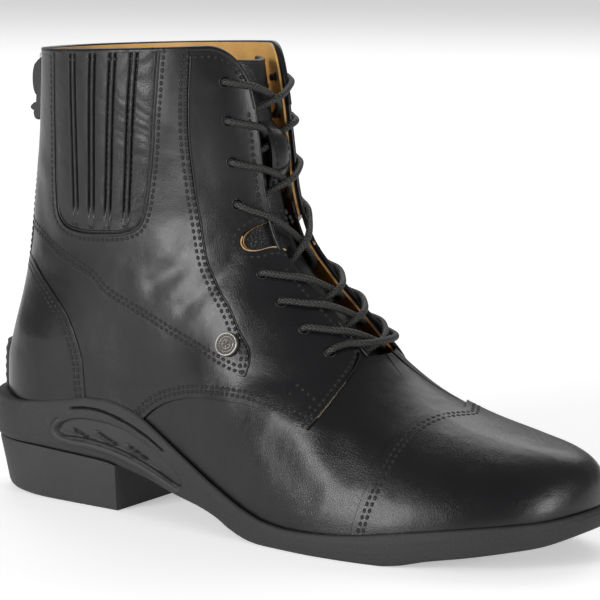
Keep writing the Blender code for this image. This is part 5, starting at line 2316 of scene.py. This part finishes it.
@dataclass
class Sole:
    """Moulded sole: side panels, bead, slits, rim, tread, heel block and footbed."""

    skin: Skin
    looks: Finishes
    steps: int = 520
    heel_steps: int = 71
    rib_pitch: float = 9.0
    rest_half: float = 17.0
    rest_low: float = 41.8

    @staticmethod
    def outline(steps: int, start: float, end: float, inset: float, narrow: float) -> np.ndarray:
        """Closed outline of the sole from above.

        Args:
            steps: Steps along each side.
            start: Its back end.
            end: Its front end.
            inset: How far it is drawn in.
            narrow: How much narrower its sides are.

        Returns:
            Flat points.
        """
        turn = np.linspace(0.0, np.pi, steps + 1)
        x = start + (end - start) * (1 - np.cos(turn)) / 2
        outer = np.stack((x, -plan(x, -1, start, end, narrow)), axis=-1)
        inner = np.stack((x, plan(x, 1, start, end, narrow)), axis=-1)
        ring = np.concatenate((outer, inner[-2:0:-1]))
        return ring - Sole.outward(ring) * inset

    @staticmethod
    def outward(ring: np.ndarray) -> np.ndarray:
        """Outward directions of a closed flat ring."""
        along = np.roll(ring, -1, axis=0) - np.roll(ring, 1, axis=0)
        return unit(np.stack((along[:, 1], -along[:, 0]), axis=-1))

    def stack(self, name: str, levels: list[np.ndarray], finish: Any) -> Any:
        """Closed body from rings, with ladder caps.

        Args:
            name: The piece's name.
            levels: Rings from the bottom up.
            finish: The material.

        Returns:
            The object.
        """
        ring = len(levels[0])
        half = ring // 2
        faces: Faces = []
        for level in range(len(levels) - 1):
            faces += ring_faces(level * ring, (level + 1) * ring, ring)
        top = (len(levels) - 1) * ring
        for i in range(half):
            j, k = (ring - i) % ring, ring - i - 1
            for cell in ([i, j, k, i + 1], [top + i, top + i + 1, top + k, top + j]):
                kept = list(dict.fromkeys(cell))
                if len(kept) > 2:
                    faces.append(tuple(kept))
        return Solid.mesh(name, np.concatenate(levels), faces, finish)

    def relief(self, flat: np.ndarray) -> Rows:
        """How far the side wall is pushed in, and how smooth it is there.

        Args:
            flat: Forward and height of its points.

        Returns:
            Depths and smooth shares.
        """
        leaf = distance_to(flat, spline(LEAF_LINE, 0.8, True), True)
        depth = 1.15 * (1 - ease(-0.55, 0.05, leaf))
        calm = 1 - ease(-0.5, 0.2, leaf)
        bead = distance_to(flat, spline(BEAD_LINE, 0.8))
        depth = depth - 1.0 * np.sqrt(np.clip(1 - (bead / 1.55) ** 2, 0.0, 1.0))
        calm = np.maximum(calm, 1 - ease(1.4, 1.7, bead))
        for line in SLIT_LINES:
            far = distance_to(flat, np.array(line))
            under = distance_to(flat, np.array(line) - (0.3, 0.85))
            depth = depth + 0.8 * np.exp(-(far / 0.42) ** 4) - 0.35 * np.exp(-(under / 0.4) ** 2)
        slot = distance_to(flat, spline(SLOT_LINE, 0.8))
        return depth + 2.0 * np.exp(-(slot / 0.4) ** 4), calm

    def build(self) -> None:
        """Make and dress the sole."""
        shares = np.concatenate(((0.0,), np.linspace(0.03, 0.97, 62), (1.0,)))
        insets = np.interp(shares, *np.transpose(WALL_INSETS))
        plain = self.outline(self.steps, SOLE_BACK, SOLE_TOE, 0.0, 0.0)
        away = self.outward(plain)
        rim = rim_z(plain[:, 0])
        foot = bottom_z(plain[:, 0])
        levels = []
        calm = []
        for share, inset in zip(shares, insets):
            height = foot + (rim - foot) * share
            depth, smoothness = self.relief(np.column_stack((plain[:, 0], height)))
            if share in (0.0, 1.0):
                depth = depth * 0.0
            levels.append(np.column_stack((plain - away * (inset + depth)[:, None], height)))
            calm.append(smoothness)
        start = back_x(HEIGHT * SLICES[0][1])
        for clear, dip in ((0.5, 0.3), (0.4, 1.2), (0.4, FEATHER_DROP + 0.9)):
            end = LENGTH * SLICES[0][2] + clear + 0.3
            flat = self.outline(self.steps, float(start) - clear, end, 0.0, FEATHER_INSET - clear)
            levels.append(np.column_stack((flat, rim_z(flat[:, 0]) - dip)))
            calm.append(np.zeros(len(flat)))
        piece = self.stack("sole_body", levels, self.looks.rubber)
        self.mark_calm(piece, np.concatenate(levels), np.concatenate(calm))
        Solid.wear(Solid.soften(piece, 50.0), "outsole", "sole")
        self.heel()
        self.footbed()
        self.ribs()
        self.patch()

    @staticmethod
    def mark_calm(piece: Any, points: np.ndarray, calm: np.ndarray) -> None:
        """Write the smooth share on a mesh whose points were merged.

        Args:
            piece: The object.
            points: Where the shares are known, in millimetres.
            calm: The shares.
        """
        tree = KDTree(len(points))
        for i, (x, y, z) in enumerate(points):
            tree.insert(((x - HEEL_CENTRE) * MM, y * MM, z * MM), i)
        tree.balance()
        values = [calm[tree.find(v.co)[1]] for v in piece.data.vertices]
        mark = piece.data.attributes.new("calm", "FLOAT", "POINT")
        mark.data.foreach_set("value", np.array(values, np.float32))

    def heel(self) -> None:
        """Heel block with a straight front face and rounded edges."""
        levels = []
        for share, start, inset in HEEL_RINGS:
            turn = np.linspace(0.0, np.pi / 2, self.heel_steps)
            x = start + (BREAST - start) * (1 - np.cos(turn))
            trim = inset * (1 - 0.62 * np.clip(x / BREAST, 0.0, 1.0)) * rounded(x - start, 30.0, 2.0)
            outer = plan(x, -1, start, SOLE_TOE, 0.0) - trim
            inner = plan(x, 1, start, SOLE_TOE, 0.0) - trim
            front = np.linspace(-outer[-1], inner[-1], 12)[1:-1]
            x = np.concatenate((x, np.full(len(front), BREAST), x[:0:-1]))
            y = np.concatenate((-outer, front, inner[:0:-1]))
            levels.append(np.column_stack((x, y, (bottom_z(x) - 0.55) * share)))
        ring = len(levels[0])
        faces: Faces = [tuple(range(ring))]
        for k in range(len(levels) - 1):
            faces += ring_faces(k * ring, (k + 1) * ring, ring)
        top = (len(levels) - 1) * ring
        pairs = [(i, (ring - i) % ring) for i in range(self.heel_steps)]
        for (a, b), (c, d) in zip(pairs, pairs[1:]):
            faces.append(tuple(top + k for k in dict.fromkeys((a, c, d, b))))
        faces.append(tuple(top + k for k in range(self.heel_steps - 1, ring - self.heel_steps + 2)))
        piece = Solid.mesh("heel_body", np.concatenate(levels), faces, self.looks.block)
        Solid.wear(Solid.soften(piece, 40.0), "heel_block", "sole")

    def footbed(self) -> None:
        """Tan footbed inside."""
        start = float(back_x(HEIGHT * SLICES[0][1])) + WALL + 1.2
        end = LENGTH * SLICES[0][2] - WALL - 1.4
        levels = []
        for height, inset in ((-3.0, 0.0), (-1.0, 0.0), (-0.6, 0.4), (-0.5, 1.2)):
            flat = self.outline(120, start + inset, end - inset, 0.0, FEATHER_INSET + WALL + 1.4 + inset)
            levels.append(np.column_stack((flat, rim_z(flat[:, 0]) + height)))
        piece = self.stack("footbed", levels, self.looks.lining)
        Solid.wear(Solid.soften(piece, 50.0), "insole", "lining")

    def ribs(self) -> None:
        """Cross ribs of the tread under the forefoot and the heel, set by a node tree."""
        tree = bpy.data.node_groups.new("tread", "GeometryNodeTree")
        tree.interface.new_socket("Line", in_out="INPUT", socket_type="NodeSocketGeometry")
        for label in ("Spacing", "Depth", "Thickness"):
            tree.interface.new_socket(label, in_out="INPUT", socket_type="NodeSocketFloat")
        tree.interface.new_socket("Ribs", in_out="OUTPUT", socket_type="NodeSocketGeometry")
        make, link = tree.nodes.new, tree.links.new
        start, end = make("NodeGroupInput"), make("NodeGroupOutput")
        curve, dots = make("GeometryNodeMeshToCurve"), make("GeometryNodeCurveToPoints")
        dots.mode = "LENGTH"
        bar = make("GeometryNodeMeshCube")
        size = make("ShaderNodeCombineXYZ")
        width = make("GeometryNodeInputNamedAttribute")
        width.data_type = "FLOAT"
        width.inputs["Name"].default_value = "span"
        grow = make("ShaderNodeCombineXYZ")
        grow.inputs["X"].default_value = 1.0
        grow.inputs["Z"].default_value = 1.0
        spread, real = make("GeometryNodeInstanceOnPoints"), make("GeometryNodeRealizeInstances")
        dress = make("GeometryNodeSetMaterial")
        dress.inputs["Material"].default_value = self.looks.block
        size.inputs["Y"].default_value = 1.0
        link(start.outputs["Line"], curve.inputs[0])
        link(curve.outputs[0], dots.inputs["Curve"])
        link(start.outputs["Spacing"], dots.inputs["Length"])
        link(start.outputs["Thickness"], size.inputs["X"])
        link(start.outputs["Depth"], size.inputs["Z"])
        link(size.outputs[0], bar.inputs["Size"])
        link(dots.outputs["Points"], spread.inputs["Points"])
        link(bar.outputs["Mesh"], spread.inputs["Instance"])
        link(width.outputs[0], grow.inputs["Y"])
        link(grow.outputs[0], spread.inputs["Scale"])
        link(spread.outputs[0], real.inputs[0])
        link(real.outputs[0], dress.inputs[0])
        link(dress.outputs[0], end.inputs[0])
        points = []
        spans = []
        edges = []
        for low, high in ((150.0, 198.0), (16.0, 60.0)):
            first = len(points)
            for x in np.arange(low, high, 2.0):
                inset = 5.0 if low > 100 else 9.5
                outer = float(plan(x, -1, SOLE_BACK, SOLE_TOE, 0.0)) - inset
                inner = float(plan(x, 1, SOLE_BACK, SOLE_TOE, 0.0)) - inset
                points.append(((x - HEEL_CENTRE) * MM, (inner - outer) / 2 * MM, 0.42 * MM))
                spans.append((inner + outer) * MM)
            edges += [(i, i + 1) for i in range(first, len(points) - 1)]
        data = bpy.data.meshes.new("tread")
        data.from_pydata(points, edges, [])
        data.attributes.new("span", "FLOAT", "POINT").data.foreach_set("value", np.array(spans, np.float32))
        values = {"Spacing": self.rib_pitch * MM, "Depth": 0.8 * MM, "Thickness": 5.0 * MM}
        piece = Solid.grown("tread_ribs", data, tree, values)
        Solid.wear(piece, ("outsole", "heel_block"), "sole")

    def patch(self) -> None:
        """Ribbed rubber rest at the back of the heel counter."""
        back = BackZip(self.skin, self.looks)
        across = np.linspace(-self.rest_half, self.rest_half, 35)
        heights = np.arange(self.rest_low, 60.6, 0.5)
        pairs = [[back.around(float(z), float(a)) for a in across] for z in heights]
        points, normals = parted(pairs)
        edge = 1 - (np.abs(across) / self.rest_half) ** 8
        ribs = 0.35 * np.maximum(np.sin((heights - self.rest_low) * 2 * np.pi / 3.6), -0.3)
        high = 2.4 + 1.5 * edge[None, :] + ribs[:, None] * edge[None, :]
        piece = Solid.sheet("heel_rest", points, unit(normals), 0.3, high, self.looks.block)
        Solid.wear(Solid.soften(piece, 50.0), "heel_patch", "sole")


@dataclass
class Studio:
    """Pale floor, soft lights and the camera at the photograph's angle."""

    azimuth: float = 32.4
    elevation: float = 9.07
    distance: float = 1.055
    lens: float = 159.2
    sensor: float = 36.0
    shift: Pair = (0.0159, 0.0123)
    roll: float = 0.6
    target: Triple = (0.097, 0.0, 0.085)
    floor_half: float = 40.0
    floor_glow: float = 0.4
    air: float = 0.27
    lamps: tuple[tuple[str, Triple, Pair, float], ...] = (
        ("key", (-0.35, -1.55, 0.45), (0.7, 0.86), 24.0),
        ("back", (-1.0, 2.2, 2.4), (3.0, 2.2), 46.0),
        ("side", (1.7, -0.3, 0.36), (0.4, 0.6), 10.0),
    )

    def camera(self) -> None:
        """Place the camera."""
        a, e = math.radians(self.azimuth), math.radians(self.elevation)
        back = Vector((math.sin(a) * math.cos(e), -math.cos(a) * math.cos(e), math.sin(e)))
        data = bpy.data.cameras.new("camera")
        data.lens = self.lens
        data.sensor_width = self.sensor
        data.shift_x, data.shift_y = self.shift
        view = placed("camera", data)
        view.location = Vector(self.target) + back * self.distance
        view.rotation_euler = (-back).to_track_quat("-Z", "Y").to_euler()
        view.rotation_euler.rotate_axis("Z", math.radians(self.roll))
        bpy.context.scene.camera = view

    def light(self, name: str, place: Triple, size: Pair, power: float) -> None:
        """Add a soft light that looks at the boot.

        Args:
            name: Its name.
            place: Where it stands.
            size: Width and height.
            power: Its power.
        """
        data = bpy.data.lights.new(name, "AREA")
        data.shape = "RECTANGLE"
        data.size, data.size_y = size
        data.energy = power
        lamp = placed(name, data)
        lamp.location = place
        aim = Vector(self.target) - Vector(place)
        lamp.rotation_euler = aim.to_track_quat("-Z", "Y").to_euler()

    def floor(self) -> None:
        """Lay the pale floor."""
        data = bpy.data.meshes.new("floor")
        half = self.floor_half
        corners = [(-half, -half, 0.0), (half, -half, 0.0), (half, half, 0.0), (-half, half, 0.0)]
        data.from_pydata(corners, [], [(0, 1, 2, 3)])
        values = {"Base Color": (0.9, 0.9, 0.9), "Roughness": 0.85, "Emission Strength": self.floor_glow}
        data.materials.append(Sheet("pale_floor").finish(values))
        placed("floor", data)

    def build(self) -> None:
        """Set up the studio."""
        self.camera()
        self.floor()
        for lamp in self.lamps:
            self.light(*lamp)
        world = bpy.data.worlds.new("studio")
        world.use_nodes = True
        air = world.node_tree.nodes["Background"]
        air.inputs["Color"].default_value = (1.0, 1.0, 1.0, 1.0)
        air.inputs["Strength"].default_value = self.air
        bpy.context.scene.world = world
        bpy.context.scene.view_settings.view_transform = "Standard"


def main() -> None:
    """Build the studio and every sub-assembly in order."""
    logging.basicConfig(level=logging.INFO, format="%(relativeCreated)d %(message)s")
    Studio().build()
    looks = Finishes()
    skin = Skin()
    LOG.info("skin of %d by %d", *skin.grid.shape[:2])
    steps: list[tuple[str, Callable[[], None]]] = [
        ("sole", Sole(skin, looks).build),
        ("upper", Upper(skin, looks).build),
        ("outer gore", lambda: Gore(skin, looks).build(Side.OUTER, "gore_outer")),
        ("inner gore", lambda: Gore(skin, looks).build(Side.INNER, "gore_inner")),
        ("zip", BackZip(skin, looks).build),
        ("throat", Throat(skin, looks).build),
        ("badge", Badge(skin, looks).build),
    ]
    for name, step in steps:
        step()
        LOG.info("%s done", name)


if __name__ == "__main__":
    main()
